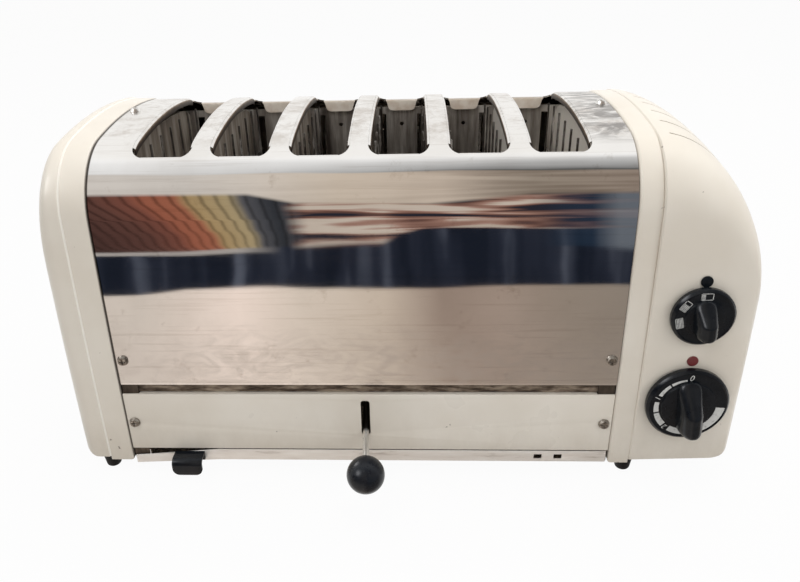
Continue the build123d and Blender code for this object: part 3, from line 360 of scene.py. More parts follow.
def bent_sheet(name, rows):
    """A flat blank with a grid of points, bent so that its rows lie on the rows given, in mm."""
    bpy.ops.object.select_all(action="DESELECT")
    bpy.ops.mesh.primitive_grid_add(
        x_subdivisions=len(rows[0]) - 1, y_subdivisions=len(rows) - 1, size=1)
    piece = bpy.context.object
    piece.name = name
    places = [place for row in rows for place in row]
    for vertex, place in zip(piece.data.vertices, places):
        vertex.co = Vector(place) / 1000
    return piece


def take(piece):
    """Selects one piece and nothing else."""
    bpy.ops.object.select_all(action="DESELECT")
    piece.select_set(True)
    bpy.context.view_layer.objects.active = piece


def seal(piece, gap_mm=0.005):
    """Joins the edges that meet and turns all faces outwards."""
    take(piece)
    bpy.ops.object.mode_set(mode="EDIT")
    bpy.ops.mesh.select_all(action="SELECT")
    bpy.ops.mesh.remove_doubles(threshold=gap_mm / 1000)
    bpy.ops.mesh.normals_make_consistent(inside=False)
    bpy.ops.object.mode_set(mode="OBJECT")
    return piece


def apply_modifier(piece, kind, **settings):
    """Adds one modifier with its settings and applies it."""
    take(piece)
    modifier = piece.modifiers.new(kind.lower(), kind)
    for key, value in settings.items():
        setattr(modifier, key, value)
    bpy.ops.object.modifier_apply(modifier=modifier.name)
    return piece


def cut(piece, cutters):
    """Takes each cutter's shape out of the piece, and the cutter away."""
    for cutter in cutters:
        apply_modifier(piece, "BOOLEAN", object=cutter, operation="DIFFERENCE", solver="EXACT")
        bpy.data.objects.remove(cutter)
    return piece


def finish(piece, body, material, smooth=35.0, replaced=()):
    """Shading, material, body and finish slot of a piece that is done."""
    take(piece)
    bpy.ops.object.shade_smooth_by_angle(angle=radians(smooth))
    piece.data.materials.clear()
    piece.data.materials.append(material)
    if replaced:
        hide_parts(*replaced)
    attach(piece, body)
    return piece


def new_material(name):
    """An empty material and its shader node."""
    material = bpy.data.materials.new(name)
    material.use_nodes = True
    tree = material.node_tree
    shader = tree.nodes["Principled BSDF"]
    place = node(tree, "TexCoord").outputs["Object"]
    return material, tree, shader, place


def in_mm(tree, place, axis):
    """One coordinate of the place, in mm."""
    return times(tree, node(tree, "SeparateXYZ", {"Vector": place}).outputs[axis], 1000.0)


def bump(tree, shader, height, strength, distance):
    """Relief from a height; the distance is in mm."""
    relief = node(tree, "Bump", {
        "Height": height, "Strength": strength, "Distance": distance / 1000})
    tree.links.new(relief.outputs["Normal"], shader.inputs["Normal"])


def rounded_block(name, centre, size, corner_r):
    """Upright block with rounded corners, used as a punch; centre and size in mm."""
    bpy.ops.object.select_all(action="DESELECT")
    bpy.ops.mesh.primitive_cube_add(size=1)
    block = bpy.context.object
    block.name = name
    block.data.transform(Matrix.LocRotScale(Vector(centre) / 1000, None, Vector(size) / 1000))
    bpy.ops.object.mode_set(mode="EDIT")
    bpy.ops.mesh.select_all(action="DESELECT")
    bpy.ops.object.mode_set(mode="OBJECT")
    for edge in block.data.edges:
        first, second = (block.data.vertices[i].co for i in edge.vertices)
        edge.select = abs(first.z - second.z) > 0.5 * size[2] / 1000
    bpy.ops.object.mode_set(mode="EDIT")
    bpy.ops.mesh.select_mode(type="EDGE")
    bpy.ops.mesh.bevel(offset=corner_r / 1000, segments=8, affect="EDGES")
    bpy.ops.object.mode_set(mode="OBJECT")
    return block


steel, tree, shader, place = new_material("polished_sheet")
x_mm, z_mm = in_mm(tree, place, "X"), in_mm(tree, place, "Z")
up = over(tree, z_mm, 260.0)
near_crown = fade(tree, up, 0.895, 0.915)
at_right = fade(tree, over(tree, x_mm, 200.0), 0.55, 0.64)

# Polish: nearly a mirror on the face, hazed by wiping low down and on the crown.
smears = noise(tree, scaled(tree, place, (14.0, 30.0, 30.0)), 3.0, 6.0, 0.65, 1.6)
fine = noise(tree, scaled(tree, place, (30.0, 900.0, 900.0)), 2.0, 2.0)
haze = ramp(tree, up, ((0.38, 1.0), (0.52, 0.10), (0.60, 0.02), (0.885, 0.02), (0.915, 1.0)))
haze = times(tree, haze, fade(tree, smears, 0.35, 0.62, 0.45, 1.0))
rough = plus(tree, times(tree, haze, 0.24), 0.018)
rough = plus(tree, rough, times(tree, fine, 0.016))
tree.links.new(rough, shader.inputs["Roughness"])

# Tone: pale steel with small stains, level scratches, heat marks on the crown and worn streaks
# at its right end. The lowest edge is painted near-white, a painted highlight, and the seam beside
# the left casting is painted dark, a painted shadow.
tint = ramp(tree, noise(tree, place, 9.0, 5.0, 0.6, 0.4), (
    (0.3, (0.80, 0.78, 0.755)), (0.5, (0.87, 0.855, 0.835)), (0.7, (0.93, 0.92, 0.905))))
stain = fade(tree, noise(tree, place, 60.0, 6.0, 0.7), 0.60, 0.74, 0.0, 0.35)
scratched = noise(tree, scaled(tree, place, (12.0, 420.0, 420.0)), 1.0, 3.0, 0.6)
stain = math(tree, "MAXIMUM", stain, fade(tree, scratched, 0.56, 0.70, 0.0, 0.16))
burnt = fade(tree, noise(tree, place, 48.0, 6.0, 0.72), 0.46, 0.66, 0.0, 0.55)
stain = math(tree, "MAXIMUM", stain, times(tree, near_crown, burnt))
tint = blend_colours(tree, stain, tint, (0.42, 0.35, 0.29))
rubbed = noise(tree, scaled(tree, place, (26.0, 80.0, 80.0)), 1.0, 4.0, 0.6, 1.6)
rubbed = fade(tree, rubbed, 0.42, 0.56, 0.0, 0.9)
rubbed = times(tree, times(tree, at_right, near_crown), rubbed)
tint = blend_colours(tree, rubbed, tint, (0.24, 0.225, 0.215))
# Painted highlight: the lowest few mm of the sheet are near-white.
from_edge = over(tree, minus(tree, z_mm, cover_low.z), 4.0)
tint = blend_colours(tree, fade(tree, from_edge, 0.25, 0.35, 1.0, 0.0), tint, (1.0, 0.99, 0.97))
# Painted shadow: the sheet darkens next to the left casting.
seam_shade = fade(tree, minus(tree, x_mm, cover_low.x), 0.35, 0.9, 0.92, 0.0)
tint = blend_colours(tree, seam_shade, tint, (0.05, 0.042, 0.035))
tree.links.new(tint, shader.inputs["Base Color"])
shader.inputs["Metallic"].default_value = 1.0
waves = noise(tree, scaled(tree, place, (2.0, 14.0, 14.0)), 1.6, 1.5, 0.4)
bump(tree, shader, plus(tree, waves, times(tree, fine, 0.0012)), 0.35, 2.2)

cover_line = arch_line(body_half, top_z, shoulder_r, bottom=cover_low.z, steps=(16, 28, 24))
cover_xs = [cover_low.x + (cover_high.x - cover_low.x) * i / 12 for i in range(13)]
cover = bent_sheet("cover_sheet", [[(x, y, z) for y, z in cover_line] for x in cover_xs])
apply_modifier(seal(cover), "SOLIDIFY", thickness=sheet_mm / 1000, offset=-1.0, use_even_offset=True)
punch_size = (slot_width + 2 * lip_r, slot_length + 2 * lip_r, punch_height)
cut(cover, [rounded_block("slot_punch", (x, mid_y, top_z), punch_size, slot_corner_r + lip_r)
            for x in slot_xs])
finish(cover, "housing", steel, 30.0, ["body_cover"])

# Slot lips: along both sides of every slot the sheet is flanged down, with a small bend at its
# top, and at each end a short tab is bent down. Their insides are painted pale at the top bend and
# dark down into the slot, a painted highlight and painted shade, with cloudy heat browning.
lip_depth, lip_end, lip_sunk, lip_sheet = 5.0, 69.0, 0.45, 0.8
tab_width, tab_depth, polished_edge, crown_curve = 25.0, 9.5, 1.0, 0.00122


def worn_metal(name, tones, rough, grain, metallic=0.9, relief=0.25):
    """A metal finish with cloudy tones on a grain of its own, duller where it is darker."""
    material, tree, shader, place = new_material(name)
    cloud = noise(tree, scaled(tree, place, grain), 1.0, 6.0, 0.65)
    tree.links.new(ramp(tree, cloud, tones), shader.inputs["Base Color"])
    tree.links.new(fade(tree, cloud, 0.3, 0.7, rough[1], rough[0]), shader.inputs["Roughness"])
    shader.inputs["Metallic"].default_value = metallic
    bump(tree, shader, cloud, relief, 0.3)
    return material


lip_steel, tree, shader, place = new_material("browned_shaded_lip")
from_middle = math(tree, "ABSOLUTE", minus(tree, in_mm(tree, place, "Y"), mid_y))
crown_fall = times(tree, math(tree, "POWER", from_middle, 2.0), crown_curve)
below = minus(tree, minus(tree, top_z, in_mm(tree, place, "Z")), crown_fall)
heat = noise(tree, scaled(tree, place, (300.0, 300.0, 90.0)), 1.0, 5.0, 0.65)
below = plus(tree, below, times(tree, minus(tree, heat, 0.5), 2.5))
# Painted highlight and shade: pale at the top bend, near black a few mm down into the slot.
flange_light_and_shade = ramp(tree, over(tree, below, 10.0), (
    (0.07, (0.52, 0.46, 0.38)), (0.13, (0.28, 0.205, 0.14)), (0.26, (0.070, 0.047, 0.032)),
    (0.44, (0.022, 0.015, 0.011))))
tab_tone = ramp(tree, noise(tree, place, 120.0, 4.0), (
    (0.35, (0.80, 0.67, 0.54)), (0.60, (0.95, 0.85, 0.73))))
on_tab = fade(tree, over(tree, from_middle, 100.0), 0.71, 0.73)
tree.links.new(blend_colours(tree, on_tab, flange_light_and_shade, tab_tone), shader.inputs["Base Color"])
shader.inputs["Metallic"].default_value = 0.0
shader.inputs["Roughness"].default_value = 0.50
bump(tree, shader, heat, 0.25, 0.3)
top_line = arch_line(body_half, top_z, shoulder_r, steps=(14, 40, 30))


def top_at(y):
    """Height of the cover's crown at a place along Y, between two points of its line."""
    for (y0, z0), (y1, z1) in zip(top_line, top_line[1:]):
        if y0 <= y <= y1:
            return z0 + (z1 - z0) * (y - y0) / (y1 - y0)
    return top_z


def join(name, pieces):
    """One mesh from several."""
    take(pieces[0])
    for piece in pieces:
        piece.select_set(True)
    bpy.ops.object.join()
    pieces[0].name = name
    return pieces[0]


bend = [(lip_r * (1 - sin(radians(a))), lip_r * (1 - cos(radians(a)))) for a in (0, 22, 45, 68, 90)]
tab_corners = ((3.0, 0.8), (6.5, 1.6), (8.4, 2.6), (9.2, 3.9), (tab_depth, 5.6))
flange_ys = [mid_y - lip_end + 2 * lip_end * i / 40 for i in range(41)]
tab_shares = [i / 8 - 0.5 for i in range(9)]
for number, slot_x in enumerate(slot_xs, 1):
    parts = []
    for side in (-1, 1):
        flange_x = slot_x + side * slot_width / 2
        rows = [[(flange_x + side * out, y, top_at(y) - lip_sunk - down) for y in flange_ys]
                for out, down in bend]
        rows.append([(flange_x, y, top_at(y) - lip_depth) for y in flange_ys])
        parts.append(bent_sheet("flange", rows))
        tab_y = mid_y + side * slot_length / 2
        rows = []
        for out, down in bend:
            y = tab_y + side * out
            z = top_at(y) - lip_sunk - down
            rows.append([(slot_x + tab_width * share, y, z) for share in tab_shares])
        for down, narrower in tab_corners:
            rows.append([(slot_x + (tab_width - 2 * narrower) * share, tab_y, top_at(tab_y) - down)
                         for share in tab_shares])
        parts.append(bent_sheet("tab", rows))
    for part in parts:
        apply_modifier(part, "SOLIDIFY", thickness=lip_sheet / 1000, offset=0.0)
    lips = seal(join(f"slot_lips_{number}", parts))
    finish(lips, "housing", lip_steel, 40.0)
    lips.data.materials.append(steel)
    for face in lips.data.polygons:
        middle = face.center * 1000
        face.material_index = int(top_at(middle.y) - middle.z < polished_edge)

# End castings: two hollow aluminium castings with a cream stoving enamel, chipped in places.
# The right one stands proud of its band and houses the controls behind seven louvres.
casting_wall, band_proud, half_length = 2.8, 0.8, 170.0
left_edge, right_edge = mid_x - half_length, mid_x + half_length
left_reach, right_reach = 38.0, 84.0
left_band, right_band = 17.0, 14.2
dome_lift, end_inset = 3.0, 6.0
dome_steps = [i / 26 for i in range(27)]
edge_bend = ((0.0, 2.0), (0.15, 1.3), (0.55, 0.6), (1.2, 0.2), (2.2, 0.0))
louvre_start, louvre_pitch, louvre_size, louvre_corner_r = 8.0, 21.2, (36.0, 1.6, 44.0), 0.75

enamel, tree, shader, place = new_material("cream_enamel")
x_mm, z_mm = in_mm(tree, place, "X"), in_mm(tree, place, "Z")
patches = noise(tree, place, 14.0, 4.0, 0.5)
tone = ramp(tree, patches, (
    (0.35, (0.700, 0.640, 0.552)), (0.5, (0.735, 0.680, 0.595)), (0.65, (0.765, 0.715, 0.635))))

# Darker towards the bottom, in cloudy patches, and small chips show the metal.
darker_low = noise(tree, scaled(tree, place, (60, 60, 30)), 1.0, 6.0, 0.7)
darker_low = times(tree, darker_low, ramp(tree, over(tree, z_mm, 100.0), (
    (0.13, 0.75), (0.5, 0.25), (1.0, 0.10))))
tone = blend_colours(tree, fade(tree, darker_low, 0.12, 0.55, 0.0, 0.55), tone, (0.50, 0.44, 0.36))
specks = noise(tree, place, 170.0, 3.0, 0.6)
spread = noise(tree, place, 22.0, 3.0, 0.6)
chip = fade(tree, plus(tree, specks, times(tree, spread, 0.22)), 0.845, 0.865)
tone = blend_colours(tree, chip, tone, (0.24, 0.20, 0.16))

# The seam beside the cover is painted dark, a painted shadow, and the left casting's step has a
# painted highlight, a paler line along its edge.
from_seam = math(tree, "ABSOLUTE", minus(tree, x_mm, left_edge))
seam_shade = fade(tree, from_seam, 0.30, 0.95, 0.9, 0.0)
tone = blend_colours(tree, seam_shade, tone, (0.09, 0.075, 0.06))
# Painted highlight: a pale line along the left casting's step.
from_step = math(tree, "ABSOLUTE", minus(tree, x_mm, left_edge - left_band - 0.1))
step_highlight = fade(tree, from_step, 0.35, 0.75, 0.75, 0.0)
tone = blend_colours(tree, step_highlight, tone, (0.93, 0.90, 0.84))
tree.links.new(tone, shader.inputs["Base Color"])
tree.links.new(fade(tree, patches, 0.3, 0.7, 0.36, 0.26), shader.inputs["Roughness"])
shader.inputs["Specular IOR Level"].default_value = 0.45
peel = noise(tree, place, 520.0, 2.0, 0.5)
bump(tree, shader, minus(tree, times(tree, peel, 0.25), chip), 0.35, 0.12)


def ring(x, half, top, bend_r, lean, bottom):
    """Closed line around a casting's section: over the arch and back along the flat bottom."""
    over = [(x, y, z) for y, z in arch_line(half, top, bend_r, lean, bottom, (14, 20, 14))]
    back = [(x, over[-1][1] + (over[0][1] - over[-1][1]) * i / 6, bottom) for i in range(1, 6)]
    return over + back + [over[0]]


def casting(name, side, edge_x, band, reach, half, lean, top, end_bend_r, floor_z, power,
            edge_round, corner_r, end_rise):
    """Rings from the edge beside the cover, over the band and its step, to the domed end."""
    rows = [ring(edge_x + side * out, body_half + band_proud - inset, top_z + band_proud - inset,
                 shoulder_r - inset, side_lean, base_z + inset) for out, inset in edge_bend]
    band_x = edge_x + side * band
    rows.append(ring(band_x - side * 0.3, body_half + band_proud, top_z + band_proud, shoulder_r,
                     side_lean, base_z))
    rows.append(ring(band_x, body_half + band_proud - 0.3, top_z + band_proud - 0.3, shoulder_r,
                     side_lean, base_z))
    dome_z = base_z + dome_lift
    rows.append(ring(band_x, half - 0.9, top - 0.9, shoulder_r, lean, dome_z))
    rows.append(ring(band_x + side * 0.5, half - 0.35, top - 0.35, shoulder_r, lean, dome_z))
    length = reach - band
    edge_x_r, edge_y_r = edge_round
    for share in dome_steps:
        turn = pi / 2 * share
        x = band_x + side * max(length * sin(turn), 0.9)
        crown_z = floor_z + (top - floor_z) * (1 - sin(turn) ** power) ** (1 / power)
        to_end = length * (1 - sin(turn))
        draw_in = edge_y_r * (1 - sqrt(1 - max(0.0, 1 - to_end / edge_x_r) ** 2))
        rise = corner_r * (1 - sqrt(1 - max(0.0, 1 - to_end / corner_r) ** 2))
        rise += end_rise * sin(turn)
        bend_r = shoulder_r + (end_bend_r - shoulder_r) * sin(turn)
        rows.append(ring(x, half - draw_in, crown_z, bend_r, lean, dome_z + rise))
    piece = seal(bent_sheet(name, rows))
    bpy.ops.object.mode_set(mode="EDIT")
    bpy.ops.mesh.select_all(action="DESELECT")
    bpy.ops.object.mode_set(mode="OBJECT")
    end_x = (edge_x + side * reach) / 1000
    for edge in piece.data.edges:
        edge.select = all(abs(piece.data.vertices[i].co.x - end_x) < 1e-6 for i in edge.vertices)
    bpy.ops.object.mode_set(mode="EDIT")
    bpy.ops.mesh.select_mode(type="EDGE")
    bpy.ops.mesh.edge_face_add()
    bpy.ops.mesh.inset(thickness=end_inset / 1000)
    bpy.ops.mesh.select_all(action="SELECT")
    bpy.ops.mesh.normals_make_consistent(inside=False)
    bpy.ops.object.mode_set(mode="OBJECT")
    return apply_modifier(piece, "SOLIDIFY", thickness=casting_wall / 1000, offset=-1.0)


left_casting = casting(
    "left_casting", -1, left_edge, left_band, left_reach, half=body_half + band_proud + 0.7,
    lean=side_lean, top=top_z + band_proud + 0.7, end_bend_r=41.0, floor_z=128.0, power=3.3,
    edge_round=(13.5, 14.5), corner_r=12.0, end_rise=0.0)
finish(left_casting, "housing", enamel, 32.0, ["left_end_casting"])
right_casting = casting(
    "right_casting", 1, right_edge, right_band, right_reach, half=body_half + 1.2,
    lean=0.0, top=top_z + 1.2, end_bend_r=28.5, floor_z=151.0, power=1.9,
    edge_round=(8.0, 14.0), corner_r=15.0, end_rise=2.4)
louvre_x = right_edge + right_band + louvre_start + louvre_size[0] / 2
cut(right_casting, [
    rounded_block("louvre_saw", (louvre_x, mid_y + louvre_pitch * i, 225.0), louvre_size,
                  louvre_corner_r)
    for i in range(-3, 4)
])
finish(right_casting, "housing", enamel, 32.0, ["right_end_casting"])

# Lower panels: a folded sheet below the cover at front and rear, in the same enamel. The front one
# has the lever's slot, the rear one a row of vents and the moulded bush of the cable outlet.
# Both are screwed to the frame at their ends.


def merged_copy(name, node_name, edge_mm=0.0, segments=2):
    """A copy of a CAD piece, its triangles joined to flat faces and its sharp edges eased."""
    take(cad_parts[node_name])
    bpy.ops.object.duplicate()
    piece = bpy.context.object
    piece.name = name
    seal(piece, 0.002)
    bpy.ops.object.mode_set(mode="EDIT")
    bpy.ops.mesh.select_all(action="SELECT")
    bpy.ops.mesh.dissolve_limited(angle_limit=radians(0.3))
    bpy.ops.object.mode_set(mode="OBJECT")
    if edge_mm:
        apply_modifier(piece, "BEVEL", width=edge_mm / 1000, segments=segments,
                       limit_method="ANGLE", angle_limit=radians(40))
    return piece


for end in ("front", "rear"):
    panel = merged_copy(f"{end}_panel", f"lower_{end}_panel", 0.55, 3)
    finish(panel, "housing", enamel, 40.0, [f"lower_{end}_panel"])


def plastic(name, colour, rough, dust_colour, dust_share):
    """Moulded plastic with a thin, uneven film of dust and fine wear."""
    material, tree, shader, place = new_material(name)
    film = fade(tree, noise(tree, place, 90.0, 6.0, 0.7), 0.40, 0.72, 0.0, dust_share)
    tree.links.new(blend_colours(tree, film, colour, dust_colour), shader.inputs["Base Color"])
    tree.links.new(plus(tree, times(tree, film, 0.5), rough), shader.inputs["Roughness"])
    shader.inputs["Specular IOR Level"].default_value = 0.28
    bump(tree, shader, noise(tree, place, 900.0, 2.0), 0.12, 0.05)
    return material


matte_black = plastic("matte_black", (0.030, 0.030, 0.031), 0.52, (0.14, 0.13, 0.12), 0.35)
finish(merged_copy("cable_bush", "inlet_bush", 0.4, 3), "housing", matte_black,
       40.0, ["inlet_bush"])

# Screws: pan heads with a cross recess, dull with age, at the cover's and the panels' corners.
# The castings are held from inside by their own. Those on the crown are painted lighter, a painted
# highlight where the crown is lit.
lit_above = 200.0
screw_steel = worn_metal("aged_screw", (
    (0.32, (0.10, 0.085, 0.07)), (0.50, (0.34, 0.31, 0.27)), (0.68, (0.58, 0.55, 0.50))),
    (0.28, 0.5), (500.0, 500.0, 500.0))
crown_lit_screw = worn_metal("crown_lit_screw", ((0.35, (0.62, 0.60, 0.57)), (0.65, (0.88, 0.87, 0.85))),
                         (0.2, 0.35), (300.0, 300.0, 300.0))
for group in ("cover_screws", "panel_screws", "casting_screws"):
    heads = merged_copy(f"{group}_turned", group, 0.22)
    finish(heads, "housing", screw_steel, 40.0, [group])
    # Heads above the crown line get the lighter finish, a painted highlight.
    heads.data.materials.append(crown_lit_screw)
    for face in heads.data.polygons:
        face.material_index = int(face.center.z * 1000 > lit_above)

# Feet: four tapered studs of black rubber under the corners of the castings, pressed in from below,
# half under the dome and half under the band.
rubber = plastic("foot_rubber", (0.008, 0.008, 0.009), 0.62, (0.06, 0.055, 0.05), 0.20)
finish(merged_copy("rubber_feet", "feet"), "housing", rubber, 38.0, ["feet"])

# Frame: plated steel plates, rails, runners and shields inside, browned by heat and crumbs.
# The rails that show between cover and panels are the dirtiest.


def dress(material, *names):
    """Gives CAD pieces whose shape is right their finish."""
    for name in names:
        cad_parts[name].data.materials[0] = material


frame_sheet = worn_metal("heat_worn_sheet", (
    (0.30, (0.035, 0.026, 0.020)), (0.50, (0.11, 0.088, 0.068)), (0.70, (0.24, 0.21, 0.17))),
    (0.45, 0.7), (70.0, 70.0, 25.0), 0.7)
grimy_sheet = worn_metal("grimy_rail", (
    (0.33, (0.030, 0.018, 0.012)), (0.45, (0.12, 0.088, 0.062)), (0.56, (0.28, 0.22, 0.165)),
    (0.70, (0.46, 0.39, 0.30))), (0.5, 0.8), (60.0, 90.0, 260.0), 0.3, 0.6)
guide_sheet = worn_metal("streaked_sheet", (
    (0.34, (0.10, 0.082, 0.070)), (0.50, (0.42, 0.38, 0.34)), (0.64, (0.85, 0.81, 0.75))),
    (0.34, 0.6), (70.0, 110.0, 7.0), 0.4)
dress(frame_sheet, "left_inner_plate", "right_inner_plate", "heat_shields", "tray_runners",
      "control_plate", "timer_body")
dress(grimy_sheet, "front_rail", "rear_rail")
dress(guide_sheet, "front_guide_plate", "rear_guide_plate")
dress(matte_black, "selector_switch", "pilot_lamp", "terminal_block")

# Heating elements: heat-resistant boards wound with flat resistance ribbon, between the slots.
# The ribbon leaves each board's edges bare, and two steel bars below join the boards' ends.
mica, tree, shader, place = new_material("scorched_board")
scorch = noise(tree, scaled(tree, place, (30.0, 95.0, 10.0)), 1.0, 5.0, 0.6)
scorched = ramp(tree, scorch, (
    (0.34, (0.11, 0.085, 0.068)), (0.50, (0.27, 0.225, 0.18)), (0.64, (0.48, 0.43, 0.37))))
# Painted light: the boards towards the right end are painted pale, where light falls on their walls.
lit_right_boards = fade(tree, over(tree, in_mm(tree, place, "X"), 200.0), 0.30, 0.38, 0.0, 0.9)
tree.links.new(blend_colours(tree, lit_right_boards, scorched, (0.95, 0.90, 0.82)), shader.inputs["Base Color"])
shader.inputs["Roughness"].default_value = 0.62
bump(tree, shader, noise(tree, place, 300.0, 4.0), 0.3, 0.2)
ribbon_metal = worn_metal("resistance_ribbon", (
    (0.35, (0.05, 0.042, 0.036)), (0.55, (0.15, 0.13, 0.115)), (0.70, (0.32, 0.29, 0.26))),
    (0.35, 0.6), (80.0, 80.0, 80.0), 0.9)
ribbon_width, ribbon_pitch, ribbon_proud = 1.7, 6.4, 0.15
bare_bottom, bare_side, bare_top = 9.0, 12.0, 58.0
for number in range(1, 8):
    name = f"heating_element_{number}"
    dress(mica, name)
    low, high = [corner * 1000 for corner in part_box(name)]
    turns = int((high.z - low.z - bare_top) / ribbon_pitch)
    bpy.ops.object.select_all(action="DESELECT")
    bpy.ops.mesh.primitive_cube_add(size=1)
    ribbon = bpy.context.object
    ribbon.name = f"element_ribbon_{number}"
    start = Vector(((low.x + high.x) / 2, (low.y + high.y) / 2, low.z + bare_bottom))
    size = Vector((high.x - low.x + 2 * ribbon_proud, high.y - low.y - 2 * bare_side, ribbon_width))
    ribbon.data.transform(Matrix.LocRotScale(start / 1000, None, size / 1000))
    apply_modifier(ribbon, "BEVEL", width=0.05 / 1000, segments=1)
    apply_modifier(ribbon, "ARRAY", count=turns, use_relative_offset=False, use_constant_offset=True,
                   constant_offset_displace=(0, 0, ribbon_pitch / 1000))
    finish(ribbon, "housing", ribbon_metal, 30.0)

steel_bar = worn_metal("plain_bar", (
    (0.32, (0.16, 0.14, 0.12)), (0.50, (0.36, 0.34, 0.31)), (0.68, (0.54, 0.52, 0.49))),
    (0.28, 0.5), (90.0, 90.0, 90.0))
dress(steel_bar, "bus_bars")

# Bread guards: combs of upright drawn wires on both sides of every slot, on two rails behind them.
# They hold the bread off the boards.
guard_metal = worn_metal("guard_wire", (
    (0.34, (0.030, 0.025, 0.021)), (0.52, (0.11, 0.095, 0.082)), (0.66, (0.52, 0.49, 0.45))),
    (0.22, 0.5), (200.0, 200.0, 45.0), 0.6)
for number in range(1, 7):
    comb = merged_copy(f"guard_comb_{number}", f"bread_guard_{number}")
    finish(comb, "housing", guard_metal, 50.0, [f"bread_guard_{number}"])

# Ejector: sheet steel bread rests under the slots, on two stems each from a pair of cross bars.
# Side bars join these and slide on two turned posts in bushes.
dress(frame_sheet, "ejector_bars", "ejector_side_bars", "rest_stems",
      *[f"bread_rest_{number}" for number in range(1, 7)])
for name, body in (("guide_bushes", "ejector"), ("guide_posts", "housing")):
    finish(merged_copy(f"{name}_turned", name, 0.3), body, steel_bar, 40.0, [name])

# Lever: a turned steel rod from the ejector through the front panel's slot, with a black moulded
# ball on its end. The rod is painted dark behind the panel's face, a painted shade.
rod_metal, tree, shader, place = new_material("turned_rod")
grain = noise(tree, scaled(tree, place, (300.0, 40.0, 300.0)), 1.0, 5.0, 0.6)
bright = ramp(tree, grain, ((0.32, (0.46, 0.44, 0.41)), (0.60, (0.78, 0.76, 0.73))))
panel_face = mid_y - body_half
# Painted shade: the rod turns dark where it runs behind the panel's face.
inside = over(tree, minus(tree, in_mm(tree, place, "Y"), panel_face - 10.0), 20.0)
inside = fade(tree, inside, 0.42, 0.56)
tree.links.new(blend_colours(tree, inside, bright, (0.05, 0.042, 0.036)), shader.inputs["Base Color"])
tree.links.new(fade(tree, grain, 0.3, 0.7, 0.40, 0.24), shader.inputs["Roughness"])
shader.inputs["Metallic"].default_value = 0.8
finish(merged_copy("turned_lever_rod", "lever_rod", 0.3, 3), "ejector", rod_metal,
       50.0, ["lever_rod"])
ball_plastic = plastic("ball_black", (0.008, 0.010, 0.014), 0.26, (0.055, 0.058, 0.062), 0.18)
ball_low, ball_high = [corner * 1000 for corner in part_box("lever_ball")]
ball_middle = (ball_low + ball_high) / 2
ball_r = (ball_high.x - ball_low.x) / 2
rod_slope, rod_turn = radians(5.1), radians(2.6)
mouth_r, mouth_bevel, mouth_depth = 4.2, 0.5, 0.7


def select_faces(piece, wanted):
    """Edit mode with the wanted faces selected, chosen by their centre in mm and their normal."""
    take(piece)
    bpy.ops.object.mode_set(mode="EDIT")
    bpy.ops.mesh.select_mode(type="FACE")
    bpy.ops.mesh.select_all(action="DESELECT")
    bpy.ops.object.mode_set(mode="OBJECT")
    for face in piece.data.polygons:
        face.select = wanted(face.center * 1000, face.normal)
    bpy.ops.object.mode_set(mode="EDIT")


bpy.ops.object.select_all(action="DESELECT")
bpy.ops.mesh.primitive_uv_sphere_add(segments=72, ring_count=40, radius=ball_r / 1000)
ball = bpy.context.object
ball.name = "moulded_ball"
select_faces(ball, lambda centre, normal: normal.z > 0 and centre.xy.length < mouth_r)
bpy.ops.mesh.dissolve_faces()
bpy.ops.mesh.inset(thickness=mouth_bevel / 1000, depth=-mouth_depth / 1000)
bpy.ops.object.mode_set(mode="OBJECT")
apply_modifier(ball, "BEVEL", width=0.25 / 1000, segments=2, limit_method="ANGLE",
               angle_limit=radians(30))
ball.data.transform(Matrix.Translation(ball_middle / 1000)
                    @ Matrix.Rotation(rod_turn, 4, "Z") @ Matrix.Rotation(-pi / 2 + rod_slope, 4, "X"))
finish(ball, "ejector", ball_plastic, 30.0, ["lever_ball"])

# Crumb tray: a folded pan whose front strip shows under the panel, its left end sagged, with one
# clip-on handle of bent black plastic and the empty holes of the other.
tray_metal, tree, shader, place = new_material("scratched_tray")
scratches = noise(tree, scaled(tree, place, (25.0, 60.0, 160.0)), 1.0, 6.0, 0.65)
strip_tone = ramp(tree, scratches, (
    (0.28, (0.60, 0.54, 0.48)), (0.42, (0.88, 0.83, 0.77)), (0.68, (0.97, 0.94, 0.89))))
crumbs = noise(tree, place, 420.0, 3.0, 0.7)
pan_tone = ramp(tree, crumbs, (
    (0.38, (0.035, 0.024, 0.018)), (0.52, (0.11, 0.085, 0.062)), (0.66, (0.24, 0.18, 0.12))))
behind_strip = fade(tree, minus(tree, in_mm(tree, place, "Y"), panel_face), 0.30, 0.75)
tree.links.new(blend_colours(tree, behind_strip, strip_tone, pan_tone), shader.inputs["Base Color"])
tree.links.new(fade(tree, scratches, 0.3, 0.7, 0.5, 0.3), shader.inputs["Roughness"])
shader.inputs["Metallic"].default_value = 0.40
bump(tree, shader, scratches, 0.3, 0.3)
finish(merged_copy("tray_pan", "crumb_tray", 0.15), "tray", tray_metal, 40.0,
       ["crumb_tray"])
gloss_black = plastic("gloss_black", (0.005, 0.007, 0.010), 0.20, (0.05, 0.052, 0.055), 0.15)
finish(merged_copy("handle_clip", "tray_handle", 0.45, 3), "tray", gloss_black,
       40.0, ["tray_handle"])

# Knobs: black mouldings with a bevelled skirt, a raised disc and a bar grip with a ramped end.
# Scale and pictograms are printed on the skirts in pale grey.
skirt_bevel, rim_flat, face_sunk, disc_height, disc_slope = 1.6, 0.3, 0.4, 1.0, 0.3
ramp_share, ramp_low, grip_round, plan_round = 0.52, 0.16, 0.86, 2.6
grip_turn = radians(-5.5)
printed_proud = 0.04
print_grey, tree, shader, place = new_material("pale_print")
ink = noise(tree, place, 500.0, 4.0, 0.6)
tree.links.new(ramp(tree, ink, ((0.30, (0.36, 0.36, 0.35)), (0.45, (0.60, 0.60, 0.58)))),
               shader.inputs["Base Color"])
shader.inputs["Roughness"].default_value = 0.42


